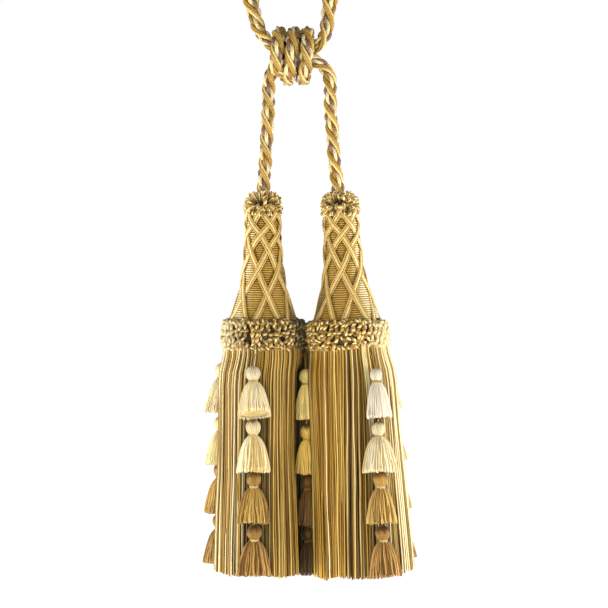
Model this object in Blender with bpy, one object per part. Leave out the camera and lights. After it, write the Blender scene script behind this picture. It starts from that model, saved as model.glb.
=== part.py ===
"""Curtain tieback: one twisted rope, doubled through a wrapped knot, with a
tassel on each of its two ends.

Metres, +Z up. The origin is the inner top of the rope's loop, where a wall
hook bears. The loop, the knot and both tassels hang below it in the XZ plane,
and -Y is the front. Tables are in millimetres and degrees."""

import math

import bmesh
import bpy
from mathutils import Matrix, Vector

MM = 0.001
GAP = 0.35  # between neighbouring pieces

# ---------------------------------------------------------------- rope ----
LEG_R = 4.7  # tight lay, from the knot down to the heads
KNOT_R = 4.6
LOOP_R = 5.6  # the lay opens a little in the free loop
LOOP_TOP_R = 20.0  # bend of the loop over its hook

# Centre line of the rope, from inside the left tassel's ruff, up its leg,
# through the knot behind the second pass, round the loop, through the knot in
# front of the first pass, and down the right leg. `spans` is how many straight
# spans lead to the next row.
ROPE_COLUMNS = ("x", "y", "z", "radius", "spans")
LEFT_LEG = (
    (-25.6, 0.0, -385.9, LEG_R, 1),
    (-25.6, 0.0, -377.2, LEG_R, 1),
    (-25.0, 0.0, -363.2, LEG_R, 1),
    (-23.7, 0.0, -346.4, LEG_R, 1),
    (-22.9, 0.0, -329.6, LEG_R, 1),
    (-21.9, 0.0, -312.8, LEG_R, 1),
    (-21.7, 0.0, -300.2, LEG_R, 2),
)
REAR_PASS = (
    (-20.8, 0.4, -290.4, KNOT_R, 2),
    (-17.3, 2.0, -283.8, KNOT_R, 2),
    (-11.7, 4.0, -278.8, KNOT_R, 1),
    (-4.7, 5.0, -275.4, KNOT_R, 1),
    (2.3, 4.5, -272.5, KNOT_R, 1),
    (9.3, 2.5, -270.1, KNOT_R, 2),
    (14.5, 0.8, -266.9, KNOT_R, 2),
    (17.9, 0.0, -261.5, 4.8, 1),
)
LOOP_RIGHT = (
    (19.3, 0.0, -253.5, 5.0, 1),
    (21.2, 0.0, -237.2, 5.6, 1),
    (24.2, 0.0, -218.0, LOOP_R, 1),
    (28.6, 0.0, -194.0, LOOP_R, 1),
    (32.0, 0.0, -166.0, LOOP_R, 1),
    (33.8, 0.0, -134.0, LOOP_R, 1),
    (33.0, 0.0, -100.0, LOOP_R, 1),
    (29.8, 0.0, -65.0, LOOP_R, 1),
    (24.6, 0.0, -37.0, LOOP_R, 1),
)
LOOP_LEFT = (
    (-25.6, 0.0, -37.0, LOOP_R, 1),
    (-33.8, 0.0, -65.0, LOOP_R, 1),
    (-39.6, 0.0, -100.0, LOOP_R, 1),
    (-42.4, 0.0, -134.0, LOOP_R, 1),
    (-42.4, 0.0, -166.0, LOOP_R, 1),
    (-40.2, 0.0, -194.0, LOOP_R, 1),
    (-36.9, 0.0, -220.0, LOOP_R, 1),
    (-34.1, 0.0, -237.2, 5.6, 1),
)
FRONT_PASS = (
    (-30.1, 0.0, -253.0, 5.0, 1),
    (-26.4, -0.6, -261.2, 4.8, 2),
    (-21.2, -1.6, -267.3, KNOT_R, 2),
    (-13.8, -3.6, -272.4, KNOT_R, 1),
    (-4.7, -5.0, -275.0, KNOT_R, 1),
    (3.0, -4.6, -277.1, KNOT_R, 1),
    (9.3, -2.5, -279.7, KNOT_R, 2),
    (15.3, -1.0, -282.7, KNOT_R, 2),
    (19.5, -0.2, -287.4, KNOT_R, 1),
)
RIGHT_LEG = (
    (21.2, 0.0, -293.8, LEG_R, 1),
    (21.6, 0.0, -302.0, LEG_R, 1),
    (21.6, 0.0, -313.0, LEG_R, 1),
    (22.9, 0.0, -329.6, LEG_R, 1),
    (24.0, 0.0, -346.4, LEG_R, 1),
    (26.0, 0.0, -363.2, LEG_R, 1),
    (27.7, 0.0, -377.2, LEG_R, 1),
    (28.4, 0.0, -385.9, LEG_R, 1),
)

# The wrap is a second length of the same rope, wound round both passes along
# X. It climbs in front and falls behind, and each end lies against the next
# turn. `turn` is counted from the bottom of the barrel.
WRAP_R = 4.55
WRAP_HIGH = 16.2  # half height of its centre line
WRAP_DEEP = 15.4  # half depth of its centre line
WRAP_Z = -276.5
WRAP_COLUMNS = ("turn", "x")
WRAP_TURNS = (
    (0.17, -16.2),
    (0.50, -14.0),
    (0.75, -11.7),
    (1.00, -8.0),
    (1.25, -5.8),
    (1.50, -4.0),
    (1.75, -1.4),
    (2.00, 2.6),
    (2.25, 4.8),
    (2.50, 5.4),
    (2.75, 8.2),
    (2.86, 9.6),
)
WRAP_POINTS_PER_TURN = 13

# ------------------------------------------------------------- tassels ----
# Each tassel has its own frame, with the top of its wound head at the origin.
# `drop` is measured down from there, and azimuth 0 faces the front, -Y.
TASSEL_COLUMNS = ("name", "x", "z", "tilt", "net_turn", "ruff_turn")
TASSELS = (
    ("left", -25.6, -387.0, 0.0, 18.0, 0.0),
    ("right", 28.5, -387.0, 3.4, 24.0, 9.0),
)

# Top ruff: a rosette of looped cord round the foot of the rope.
TOP_RUFF_LOBES = 10
TOP_RUFF_LOBE = 0.9
TOP_RUFF_COLUMNS = ("radius", "height", "lobed")
TOP_RUFF = (
    (6.1, 0.3, 0),
    (6.1, 15.0, 0),
    (8.6, 17.6, 0),
    (12.0, 14.6, 1),
    (13.0, 8.5, 1),
    (11.6, 1.6, 1),
    (9.4, 0.3, 0),
)

# Head: a turned form wound with fine cord, a neck that flares to its foot.
HEAD_SIDES = 16
HEAD_COLUMNS = ("drop", "radius")
HEAD = (
    (0.0, 8.8),
    (2.5, 10.2),
    (22.0, 10.3),
    (39.0, 11.5),
    (54.0, 14.2),
    (65.0, 17.8),
    (76.0, 23.2),
    (96.6, 23.2),
)

# Net over the head: six strands each way, over and under each other. The
# strands cross at these drops, every second row half a mesh round, and the
# whole net winds back a little on its way down. Below the last crossing each
# strand runs to the base ruff and ends there.
NET_STRANDS = 6
NET_BAND = 3.7  # width of a strand, three cords side by side
NET_WALL = 1.8
NET_COLUMNS = ("drop", "radius", "turn")
NET = (
    (1.6, 13.2, 6.0),
    (7.7, 12.9, 6.0),
    (15.2, 13.0, 5.0),
    (25.4, 13.6, 0.0),
    (39.8, 15.0, -2.0),
    (56.5, 18.3, -7.0),
    (72.0, 23.3, -9.0),
)
NET_FOOT_SPREAD = 19.0  # degrees from a strand's last crossing to its end

# Base ruff: three rows of looped cord round the foot of the head.
BASE_RUFF_LOBES = 14
BASE_RUFF_LOBE = 0.7
BASE_RUFF_COLUMNS = ("radius", "drop", "lobed")
BASE_RUFF = (
    (23.8, 96.6, 0),
    (23.8, 77.6, 0),
    (25.4, 73.0, 0),
    (28.2, 76.5, 1),
    (28.5, 88.0, 1),
    (27.4, 96.6, 1),
)

# Skirt: one comb of strings in a ring, a header with teeth that hang from it.
SKIRT_TEETH = 20
SKIRT_SLIT = 1.1  # between teeth
SKIRT_WALL = 7.2
SKIRT_FLUTE = 0.7  # every second tooth stands this much further out
SKIRT_UNEVEN = 1.8  # of the cut ends
SKIRT_COLUMNS = ("drop", "radius", "sway", "pressed")
SKIRT = {
    "left": (
        (97.0, 28.0, 0.0, 0),
        (100.5, 28.9, 0.0, 0),
        (113.0, 30.6, -1.8, 1),
        (250.0, 32.1, -2.5, 1),
    ),
    "right": (
        (97.0, 28.0, 0.2, 0),
        (100.5, 28.9, 0.2, 0),
        (113.0, 30.5, 0.6, 1),
        (250.0, 33.6, 1.2, 1),
    ),
}
# Where the tassels lean on each other, the column between them presses each
# skirt flat: which way that side faces, and how far out it stays.
PRESSED_COLUMNS = ("azimuth", "distance")
PRESSED = {"left": (97.0, 24.2), "right": (-114.0, 23.0)}

# Small tassels: a ball, a tied neck and a hollow bell of cut strings, threaded
# down three hanging cords on each skirt. `down` is for a length of 33, and a
# `bell` row's radius is a share of the half width.
MINI_SIDES = 8
MINI_BORE = 1.15
MINI_BALL = 4.5
MINI_COLUMNS = ("radius", "down", "bell")
MINI = (
    (MINI_BORE, 0.2, 0),
    (MINI_BALL * 0.93, 2.2, 0),
    (MINI_BALL, 6.0, 0),
    (2.7, 8.8, 0),
    (0.66, 13.2, 1),
    (1.00, 33.0, 1),
    (0.70, 33.0, 1),
    (MINI_BORE, 10.6, 0),
)
MINI_LENGTH = 33.0
TIER_COLUMNS = ("drop", "length", "half_width", "colour")
TIERS = (
    (106.2, 34.0, 11.3, "ivory"),
    (144.2, 32.8, 11.8, "cream"),
    (177.6, 33.8, 11.6, "gold"),
    (213.8, 33.2, 11.8, "tan"),
)
# A column starts at `azimuth` and ends `drift` degrees further round. It hangs
# `fall` lower than its tiers' drops at the first tassel and `end_fall` at the
# last. `stand` is how far the ball's centre line stands off the skirt, `lean`
# tips the bell away from it, and `deep` and `wide` are the bell's radial and
# sideways sizes over the tier's half width.
COLUMN_COLUMNS = (
    "tassel", "name", "azimuth", "drift", "fall", "end_fall", "stand", "lean",
    "deep", "wide",
)
COLUMNS = (
    ("left", "front", -7.0, 3.0, 0.0, 0.0, 5.6, 8.0, 0.72, 1.0),
    ("left", "outer", -130.0, 1.0, 0.0, 0.0, 5.6, 6.0, 0.72, 1.0),
    ("left", "inner", 104.0, -3.0, 3.5, 7.5, None, 0.0, 0.74, 0.95),
    ("right", "front", 27.0, -6.0, 1.0, 1.8, 5.6, 6.0, 0.72, 1.0),
    ("right", "outer", 139.0, -4.0, 0.0, 0.0, 5.6, 6.0, 0.72, 1.0),
    ("right", "rear", -139.0, 0.0, 0.0, 0.0, 5.6, 6.0, 0.72, 0.92),
)
INNER_REACH = (30.9, 32.4)  # radius of the squeezed column, top and bottom
# Each bell's own swing, in degrees towards lower azimuths, and its width
# beside its tier's.
ODD_COLUMNS = ("tassel", "name", "tier", "swing", "wide")
ODD = (
    ("left", "front", 0, -4.0, 1.0),
    ("left", "front", 1, -1.0, 1.0),
    ("left", "outer", 0, -3.0, 1.0),
    ("left", "outer", 1, 2.0, 1.0),
    ("right", "front", 0, 2.0, 0.8),
    ("right", "front", 1, 4.0, 1.1),
    ("right", "front", 2, 4.0, 0.94),
    ("right", "front", 3, 1.5, 1.0),
    ("right", "outer", 0, 2.0, 0.95),
    ("right", "rear", 1, 2.5, 1.0),
)
CORD_R = 0.72
CORD_TOP = 97.4  # where a cord leaves the ruff
CORD_OUT = 29.4
NECK_END = 11.3  # where the bell's hollow frees the cord

# colour, roughness and metallic value of each slot
MATERIALS = {
    "rope_gold": ((0.56, 0.38, 0.13), 0.45, 0.0),
    "ruff_loops": ((0.58, 0.42, 0.19), 0.6, 0.0),
    "head_winding": ((0.50, 0.34, 0.12), 0.5, 0.0),
    "net_gimp": ((0.62, 0.46, 0.19), 0.42, 0.0),
    "skirt_strings": ((0.58, 0.42, 0.17), 0.45, 0.0),
    "hanger_cord": ((0.62, 0.47, 0.22), 0.55, 0.0),
    "mini_ivory": ((0.86, 0.79, 0.60), 0.6, 0.0),
    "mini_cream": ((0.80, 0.68, 0.39), 0.6, 0.0),
    "mini_gold": ((0.62, 0.43, 0.16), 0.55, 0.0),
    "mini_tan": ((0.42, 0.27, 0.11), 0.6, 0.0),
}


def clear_scene():
    for obj in list(bpy.data.objects):
        bpy.data.objects.remove(obj, do_unlink=True)


def slot(name):
    found = bpy.data.materials.get(name)
    if found:
        return found
    colour, roughness, metallic = MATERIALS[name]
    made = bpy.data.materials.new(name)
    made.use_nodes = True
    shader = made.node_tree.nodes["Principled BSDF"]
    shader.inputs["Base Color"].default_value = (*colour, 1.0)
    shader.inputs["Roughness"].default_value = roughness
    shader.inputs["Metallic"].default_value = metallic
    made.diffuse_color = (*colour, 1.0)
    return made


def between(a, b, share):
    return a + (b - a) * share


def table_at(table, value, column, key=0):
    """The table's column at this value of its key column, in straight runs."""
    for low, high in zip(table, table[1:]):
        if value <= high[key]:
            share = (value - low[key]) / (high[key] - low[key])
            return between(low[column], high[column], max(share, 0.0))
    return table[-1][column]


# --------------------------------------------------------------- paths ----
def smooth_path(rows):
    """A centripetal Catmull-Rom curve through the rows, each a tuple whose
    last value counts the spans to the next row."""
    knots = [Vector(row[:-1]) for row in rows]
    knots = [knots[0] * 2 - knots[1], *knots, knots[-1] * 2 - knots[-2]]
    path = []
    for i, row in enumerate(rows[:-1]):
        a, b, c, d = knots[i : i + 4]
        ab, bc, cd = ((q - p).length ** 0.5 for p, q in ((a, b), (b, c), (c, d)))
        leave = ((b - a) / ab - (c - a) / (ab + bc)) * bc + (c - b)
        reach = ((d - c) / cd - (d - b) / (bc + cd)) * bc + (c - b)
        for step in range(row[-1]):
            t = step / row[-1]
            path.append(
                b * (2 * t**3 - 3 * t**2 + 1)
                + leave * (t**3 - 2 * t**2 + t)
                + c * (3 * t**2 - 2 * t**3)
                + reach * (t**3 - t**2)
            )
    path.append(knots[-2])
    return path


def loop_top():
    rows = []
    for degrees in (0.0, 45.0, 90.0, 135.0, 180.0):
        turn = math.radians(degrees)
        rows.append(
            (
                LOOP_TOP_R * math.cos(turn),
                0.0,
                LOOP_TOP_R * math.sin(turn) - LOOP_TOP_R + LOOP_R,
                LOOP_R,
                2,
            )
        )
    return tuple(rows)


def rope_path():
    return smooth_path(
        LEFT_LEG + REAR_PASS + LOOP_RIGHT + loop_top() + LOOP_LEFT
        + FRONT_PASS + RIGHT_LEG
    )


def wrap_path():
    rows = []
    for here, after in zip(WRAP_TURNS, WRAP_TURNS[1:] + WRAP_TURNS[-1:]):
        spans = max(1, round((after[0] - here[0]) * WRAP_POINTS_PER_TURN))
        rows.append((here[0], here[1], 0.0, spans))
    path = []
    for turn, x, _ in smooth_path(rows):
        angle = turn * math.tau
        path.append(
            Vector(
                (
                    x,
                    -WRAP_DEEP * math.sin(angle),
                    WRAP_Z - WRAP_HIGH * math.cos(angle),
                    WRAP_R,
                )
            )
        )
    return path


def cord(name, path, material, sides=8, parent=None):
    """A tube along (x, y, z, radius) points, with filled ends."""
    data = bpy.data.curves.new(name, "CURVE")
    data.dimensions = "3D"
    data.bevel_depth = MM
    data.bevel_resolution = (sides - 4) // 2
    data.use_fill_caps = True
    spline = data.splines.new("POLY")
    spline.points.add(len(path) - 1)
    for point, at in zip(spline.points, path):
        point.co = (at[0] * MM, at[1] * MM, at[2] * MM, 1.0)
        point.radius = at[3]
    return place(name, data, material, parent)


def place(name, data, material, parent=None, matrix=None):
    obj = bpy.data.objects.new(name, data)
    bpy.context.scene.collection.objects.link(obj)
    data.materials.append(slot(material))
    if parent:
        obj.parent = parent
    if matrix:
        obj.location = matrix.to_translation()
        obj.rotation_euler = matrix.to_euler()
    return obj


# -------------------------------------------------------------- solids ----
def finish(bm, name, smooth=True):
    bmesh.ops.recalc_face_normals(bm, faces=bm.faces)
    data = bpy.data.meshes.new(name)
    bm.to_mesh(data)
    bm.free()
    if smooth:
        data.shade_smooth()
        data.set_sharp_from_angle(angle=math.radians(40))
    return data


def polar(azimuth, radius, height):
    turn = math.radians(azimuth)
    return Vector(
        (radius * math.sin(turn) * MM, -radius * math.cos(turn) * MM, height * MM)
    )


def ring_solid(name, rings, closed):
    """Skins rings of points. A closed one joins its last ring to its first, as
    round a bore, and an open one is capped at both ends."""
    bm = bmesh.new()
    made = [[bm.verts.new(point) for point in ring] for ring in rings]
    pairs = list(zip(made, made[1:]))
    if closed:
        pairs.append((made[-1], made[0]))
    for a, b in pairs:
        for i in range(len(a)):
            j = (i + 1) % len(a)
            bm.faces.new((a[i], a[j], b[j], b[i]))
    if not closed:
        bm.faces.new(made[0])
        bm.faces.new(made[-1])
    return finish(bm, name)


def lobed_ring(name, rows, lobes, lobe, turn):
    rings = []
    for radius, height, lobed in rows:
        ring = []
        for i in range(2 * lobes):
            out = radius + (lobe * (i % 2 * 2 - 1) if lobed else 0.0)
            ring.append(polar(turn + i * 180.0 / lobes, out, height))
        rings.append(ring)
    return ring_solid(name, rings, closed=True)


def head_mesh(name):
    rings = [
        [polar(i * 360.0 / HEAD_SIDES, radius, -drop) for i in range(HEAD_SIDES)]
        for drop, radius in HEAD
    ]
    return ring_solid(name, rings, closed=False)


def net_mesh(name, turn):
    """Each crossing is a diamond patch, and each strand between two crossings
    is a strip from an edge of the upper patch to an edge of the lower one."""
    bm = bmesh.new()
    half_mesh = 180.0 / NET_STRANDS
    foot = len(NET) - 1
    north, east, south, west = range(4)

    def points(azimuth, drop, corners, wall):
        return [
            bm.verts.new(
                polar(
                    azimuth + turned,
                    table_at(NET, drop + fall, 1) - wall,
                    -(drop + fall),
                )
            )
            for turned, fall in corners
        ]

    def patch(row, index, wall):
        drop, radius, wound = NET[row]
        above = NET[max(row - 1, 0)][0]
        below = NET[row + 1][0]
        run = math.radians(half_mesh) * radius * (2 if row else 1)
        slope = math.atan2(run, below - above)
        across = math.degrees(NET_BAND / 2 / math.cos(slope) / radius)
        along = NET_BAND / 2 / math.sin(slope)
        azimuth = turn + wound + half_mesh * (2 * index + row % 2 - 1)
        up = along if row else 0.6
        corners = ((0, -up), (across, 0), (0, along), (-across, 0))
        return points(azimuth, drop, corners, wall)

    def end(index, side, wall):
        """The two points of a strand's cut end."""
        drop, radius, wound = NET[foot]
        across = math.degrees(NET_BAND / 2 / radius) * 1.1
        azimuth = turn + wound + half_mesh * 2 * index + side * NET_FOOT_SPREAD
        return points(azimuth, drop, ((-across, 0), (across, 0)), wall)

    walls = (0.0, NET_WALL)
    outer, inner = (
        [[patch(r, i, wall) for i in range(NET_STRANDS)] for r in range(foot)]
        for wall in walls
    )

    def strip(a, b, c, d):
        """Corners as (outer, inner) pairs: a to b and c to d are its sides."""
        bm.faces.new([pair[0] for pair in (a, b, c, d)])
        bm.faces.new([pair[1] for pair in (d, c, b, a)])
        for here, there in ((a, b), (c, d)):
            bm.faces.new((there[0], here[0], here[1], there[1]))

    for r in range(foot):
        for i in range(NET_STRANDS):
            here = list(zip(outer[r][i], inner[r][i]))
            bm.faces.new([pair[0] for pair in here])
            bm.faces.new([pair[1] for pair in here[::-1]])
            if r == 0:
                for a, b in ((west, north), (north, east)):
                    bm.faces.new((here[a][0], here[b][0], here[b][1], here[a][1]))
            if r == foot - 1:
                right = list(zip(*(end(i, 1, wall) for wall in walls)))
                left = list(zip(*(end(i, -1, wall) for wall in walls)))
                strip(here[south], right[0], right[1], here[east])
                strip(here[west], left[0], left[1], here[south])
                for a, b in (right, left):
                    bm.faces.new((a[0], a[1], b[1], b[0]))
                continue
            right = (i + r % 2) % NET_STRANDS
            left = (right - 1) % NET_STRANDS
            low = list(zip(outer[r + 1][right], inner[r + 1][right]))
            strip(here[south], low[west], low[north], here[east])
            low = list(zip(outer[r + 1][left], inner[r + 1][left]))
            strip(here[west], low[north], low[east], here[south])
    return finish(bm, name, smooth=False)


# --------------------------------------------------------------- skirt ----
def skirt_radius(tassel, azimuth, drop):
    """Outer radius of the skirt about its swayed centre."""
    radius = table_at(SKIRT[tassel], drop, 1)
    pressed = table_at(SKIRT[tassel], drop, 3)
    faces, distance = PRESSED[tassel]
    away = math.cos(math.radians(azimuth - faces))
    if away > 0.3:
        radius = between(radius, min(radius, distance / away), pressed)
    return radius


def skirt_mesh(name, tassel):
    bm = bmesh.new()
    pitch = 360.0 / SKIRT_TEETH
    table = SKIRT[tassel]

    def column(tooth, side, row):
        drop, radius, sway, _ = table[row]
        slit = math.degrees(SKIRT_SLIT / radius)
        azimuth = tooth * pitch + (pitch - slit if side else 0.0) + slit / 2
        out = skirt_radius(tassel, azimuth, drop)
        if row >= 2 and tooth % 2:
            out -= SKIRT_FLUTE
        if row == 3:
            drop += SKIRT_UNEVEN * math.sin(tooth * 2.4 + len(tassel))
        shift = Vector((sway * MM, 0.0, 0.0))
        return (
            bm.verts.new(polar(azimuth, out, -drop) + shift),
            bm.verts.new(polar(azimuth, out - SKIRT_WALL, -drop) + shift),
        )

    grid = [
        [[column(t, side, row) for side in (0, 1)] for t in range(SKIRT_TEETH)]
        for row in range(4)
    ]
    for t in range(SKIRT_TEETH):
        after = (t + 1) % SKIRT_TEETH
        for a_key, b_key in (((t, 0), (t, 1)), ((t, 1), (after, 0))):
            ao, ai = grid[0][a_key[0]][a_key[1]]
            bo, bi = grid[0][b_key[0]][b_key[1]]
            co, ci = grid[1][a_key[0]][a_key[1]]
            do, di = grid[1][b_key[0]][b_key[1]]
            bm.faces.new((ao, bo, bi, ai))
            bm.faces.new((ao, bo, do, co))
            bm.faces.new((ai, bi, di, ci))
            if a_key[1] == 1:
                bm.faces.new((co, do, di, ci))
        for row in (1, 2):
            (ao, ai), (bo, bi) = grid[row][t]
            (co, ci), (do, di) = grid[row + 1][t]
            bm.faces.new((ao, bo, do, co))
            bm.faces.new((ai, bi, di, ci))
            bm.faces.new((ao, ai, ci, co))
            bm.faces.new((bo, bi, di, do))
        (ao, ai), (bo, bi) = grid[3][t]
        bm.faces.new((ao, bo, bi, ai))
    return finish(bm, name, smooth=False)


# ------------------------------------------------------- small tassels ----
def odd(tassel, name, tier):
    for row in ODD:
        if row[:3] == (tassel, name, tier):
            return row[3], row[4]
    return 0.0, 1.0


def mini_axis(column, tier):
    """Top and bottom points of one small tassel's axis, and its azimuth."""
    tassel, name, azimuth, drift, fall, end_fall, stand, lean, _, _ = column
    drop, length, _, _ = TIERS[tier]
    share = tier / (len(TIERS) - 1)
    drop += between(fall, end_fall, share)
    azimuth += drift * share
    swing, _ = odd(tassel, name, tier)
    if stand is None:
        radius = between(*INNER_REACH, share)
    else:
        radius = skirt_radius(tassel, azimuth, drop + 6) + stand
    # the reach is measured from the tassel's own axis, so the skirt's sway is
    # added for the columns that lie on the skirt
    sway = 0.0 if stand is None else table_at(SKIRT[tassel], drop + 6, 2)
    top = polar(azimuth, radius, -drop) / MM
    top.x += sway
    tip = Matrix.Rotation(math.radians(azimuth), 3, "Z") @ (
        Matrix.Rotation(math.radians(swing), 3, "Y")
        @ Matrix.Rotation(-math.radians(lean), 3, "X")
        @ Vector((0, 0, -1))
    )
    return top, top + tip * length, azimuth, swing, lean


def mini_mesh(name, column, tier):
    """The profile turned about the axis, its bell flattened towards the
    skirt. The object's own matrix stands it in its place."""
    _, length, half_width, _ = TIERS[tier]
    deep, wide = column[8], column[9] * odd(column[0], column[1], tier)[1]
    rings = []
    for radius, down, bell in MINI:
        ring = []
        for i in range(MINI_SIDES):
            turn = (i + 0.5) * math.tau / MINI_SIDES
            x, y = math.cos(turn), math.sin(turn)
            if bell:
                x *= radius * half_width * wide
                y *= radius * half_width * deep
            else:
                x, y = x * radius, y * radius
            ring.append(Vector((x, y, -down * length / MINI_LENGTH)) * MM)
        rings.append(ring)
    return ring_solid(name, rings, closed=True)


def hang_column(column, frame):
    tassel, name = column[:2]
    first = mini_axis(column, 0)
    reach = first[0].xy.normalized() * CORD_OUT
    path = [
        (reach.x, reach.y, -CORD_TOP, CORD_R),
        (*reach.lerp(first[0].xy, 0.5), -CORD_TOP - 3.6, CORD_R),
    ]
    for tier in range(len(TIERS)):
        top, bottom, azimuth, swing, lean = mini_axis(column, tier)
        down = (bottom - top).normalized()
        # through the ball and the neck, then straight on to the next ball
        path.append((*(top - down * 0.6), CORD_R))
        path.append((*top.lerp(bottom, NECK_END / MINI_LENGTH), CORD_R))
        label = f"mini_{tassel}_{name}_{tier + 1}"
        stand = (
            Matrix.Translation(top * MM)
            @ Matrix.Rotation(math.radians(azimuth), 4, "Z")
            @ Matrix.Rotation(math.radians(swing), 4, "Y")
            @ Matrix.Rotation(-math.radians(lean), 4, "X")
        )
        data = mini_mesh(label, column, tier)
        place(label, data, f"mini_{TIERS[tier][3]}", frame, stand)
    cord(f"hanger_{tassel}_{name}", path, "hanger_cord", 6, frame)


def hang_tassel(name, x, z, tilt, net_turn, ruff_turn):
    frame = bpy.data.objects.new(f"tassel_{name}", None)
    bpy.context.scene.collection.objects.link(frame)
    frame.location = (x * MM, 0.0, z * MM)
    frame.rotation_euler = (0.0, -math.radians(tilt), 0.0)
    top = lobed_ring(
        f"top_ruff_{name}", TOP_RUFF, TOP_RUFF_LOBES, TOP_RUFF_LOBE, ruff_turn
    )
    place(f"top_ruff_{name}", top, "ruff_loops", frame)
    place(f"head_{name}", head_mesh(f"head_{name}"), "head_winding", frame)
    place(f"net_{name}", net_mesh(f"net_{name}", net_turn), "net_gimp", frame)
    base_rows = [(r, -drop, lobed) for r, drop, lobed in BASE_RUFF]
    base = lobed_ring(
        f"base_ruff_{name}", base_rows, BASE_RUFF_LOBES, BASE_RUFF_LOBE, ruff_turn
    )
    place(f"base_ruff_{name}", base, "ruff_loops", frame)
    place(f"skirt_{name}", skirt_mesh(f"skirt_{name}", name), "skirt_strings", frame)
    for column in COLUMNS:
        if column[0] == name:
            hang_column(column, frame)


def main():
    clear_scene()
    cord("rope", rope_path(), "rope_gold")
    cord("knot_wrap", wrap_path(), "rope_gold")
    for row in TASSELS:
        hang_tassel(*row)


main()
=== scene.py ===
"""The finish of a curtain tieback: a twisted rope in gold, cream and plum, laid
as one doubled length through a wrapped knot, and on its two ends a tassel with
a wound head, a braided net, looped ruffs, a skirt of strings and three hanging
columns of small tassels.

Lengths are in millimetres and angles in degrees until a mesh is made. +Z is
up, -Y is the front, and azimuth 0 faces the front of a tassel."""

import math
import bpy
import numpy as np
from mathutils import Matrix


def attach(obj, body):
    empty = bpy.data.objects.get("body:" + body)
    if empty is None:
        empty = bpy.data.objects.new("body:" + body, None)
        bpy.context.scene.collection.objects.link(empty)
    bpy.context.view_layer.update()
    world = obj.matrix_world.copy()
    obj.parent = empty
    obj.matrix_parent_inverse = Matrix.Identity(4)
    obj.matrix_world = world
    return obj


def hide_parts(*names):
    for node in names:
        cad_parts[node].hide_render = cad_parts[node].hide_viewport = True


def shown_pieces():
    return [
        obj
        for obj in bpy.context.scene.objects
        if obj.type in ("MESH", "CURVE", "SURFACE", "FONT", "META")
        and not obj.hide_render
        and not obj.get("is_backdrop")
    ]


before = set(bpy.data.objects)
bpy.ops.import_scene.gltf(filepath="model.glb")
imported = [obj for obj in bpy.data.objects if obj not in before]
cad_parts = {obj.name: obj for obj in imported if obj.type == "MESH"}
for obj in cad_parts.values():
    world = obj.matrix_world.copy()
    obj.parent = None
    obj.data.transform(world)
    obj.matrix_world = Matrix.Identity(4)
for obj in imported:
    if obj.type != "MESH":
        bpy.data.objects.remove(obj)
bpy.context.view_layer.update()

MM = 0.001
TAU = math.tau


def linear(red, green, blue):
    """A display colour, 0 to 255, as linear light."""
    c = np.array((red, green, blue)) / 255.0
    return np.where(c <= 0.04045, c / 12.92, ((c + 0.055) / 1.055) ** 2.4)


# ------------------------------------------------------------- colours ----
GOLD = linear(171, 134, 54)
GOLD_PALE = linear(196, 166, 92)
OCHRE = linear(152, 111, 32)
BROWN = linear(104, 69, 22)
UMBER = linear(76, 50, 18)
CREAM = linear(218, 200, 148)
IVORY = linear(242, 227, 184)
PLUM = linear(110, 82, 66)
OLIVE = linear(121, 88, 36)
STRAW = linear(210, 178, 100)
SHADE = linear(30, 20, 8)  # painted shade: dark sheets put inside a piece where there is only shade

# ---------------------------------------------------------------- rope ----
LEG_R = 4.7
KNOT_R = 4.6
LOOP_R = 5.6
LOOP_TOP_R = 20.0
ROPE_COLUMNS = ("x", "y", "z", "radius")
LEFT_LEG = (
    (-25.6, 0.0, -385.9, LEG_R),
    (-25.6, 0.0, -377.2, LEG_R),
    (-25.0, 0.0, -363.2, LEG_R),
    (-23.7, 0.0, -346.4, LEG_R),
    (-22.9, 0.0, -329.6, LEG_R),
    (-21.9, 0.0, -312.8, LEG_R),
    (-21.7, 0.0, -300.2, LEG_R),
)
REAR_PASS = (
    (-20.8, 0.4, -290.4, KNOT_R),
    (-17.3, 2.0, -283.8, KNOT_R),
    (-11.7, 4.0, -278.8, KNOT_R),
    (-4.7, 5.0, -275.4, KNOT_R),
    (2.3, 4.5, -272.5, KNOT_R),
    (9.3, 2.5, -270.1, KNOT_R),
    (14.5, 0.8, -266.9, KNOT_R),
    (17.9, 0.0, -261.5, 4.8),
)
LOOP_RIGHT = (
    (19.3, 0.0, -253.5, 5.0),
    (21.2, 0.0, -237.2, 5.6),
    (24.2, 0.0, -218.0, LOOP_R),
    (28.6, 0.0, -194.0, LOOP_R),
    (32.0, 0.0, -166.0, LOOP_R),
    (33.8, 0.0, -134.0, LOOP_R),
    (33.0, 0.0, -100.0, LOOP_R),
    (29.8, 0.0, -65.0, LOOP_R),
    (24.6, 0.0, -37.0, LOOP_R),
)
LOOP_LEFT = (
    (-25.6, 0.0, -37.0, LOOP_R),
    (-33.8, 0.0, -65.0, LOOP_R),
    (-39.6, 0.0, -100.0, LOOP_R),
    (-42.4, 0.0, -134.0, LOOP_R),
    (-42.4, 0.0, -166.0, LOOP_R),
    (-40.2, 0.0, -194.0, LOOP_R),
    (-36.9, 0.0, -220.0, LOOP_R),
    (-34.1, 0.0, -237.2, 5.6),
)
FRONT_PASS = (
    (-30.1, 0.0, -253.0, 5.0),
    (-26.4, -0.6, -261.2, 4.8),
    (-21.2, -1.6, -267.3, KNOT_R),
    (-13.8, -3.6, -272.4, KNOT_R),
    (-4.7, -5.0, -275.0, KNOT_R),
    (3.0, -4.6, -277.1, KNOT_R),
    (9.3, -2.5, -279.7, KNOT_R),
    (15.3, -1.0, -282.7, KNOT_R),
    (19.5, -0.2, -287.4, KNOT_R),
)
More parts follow.
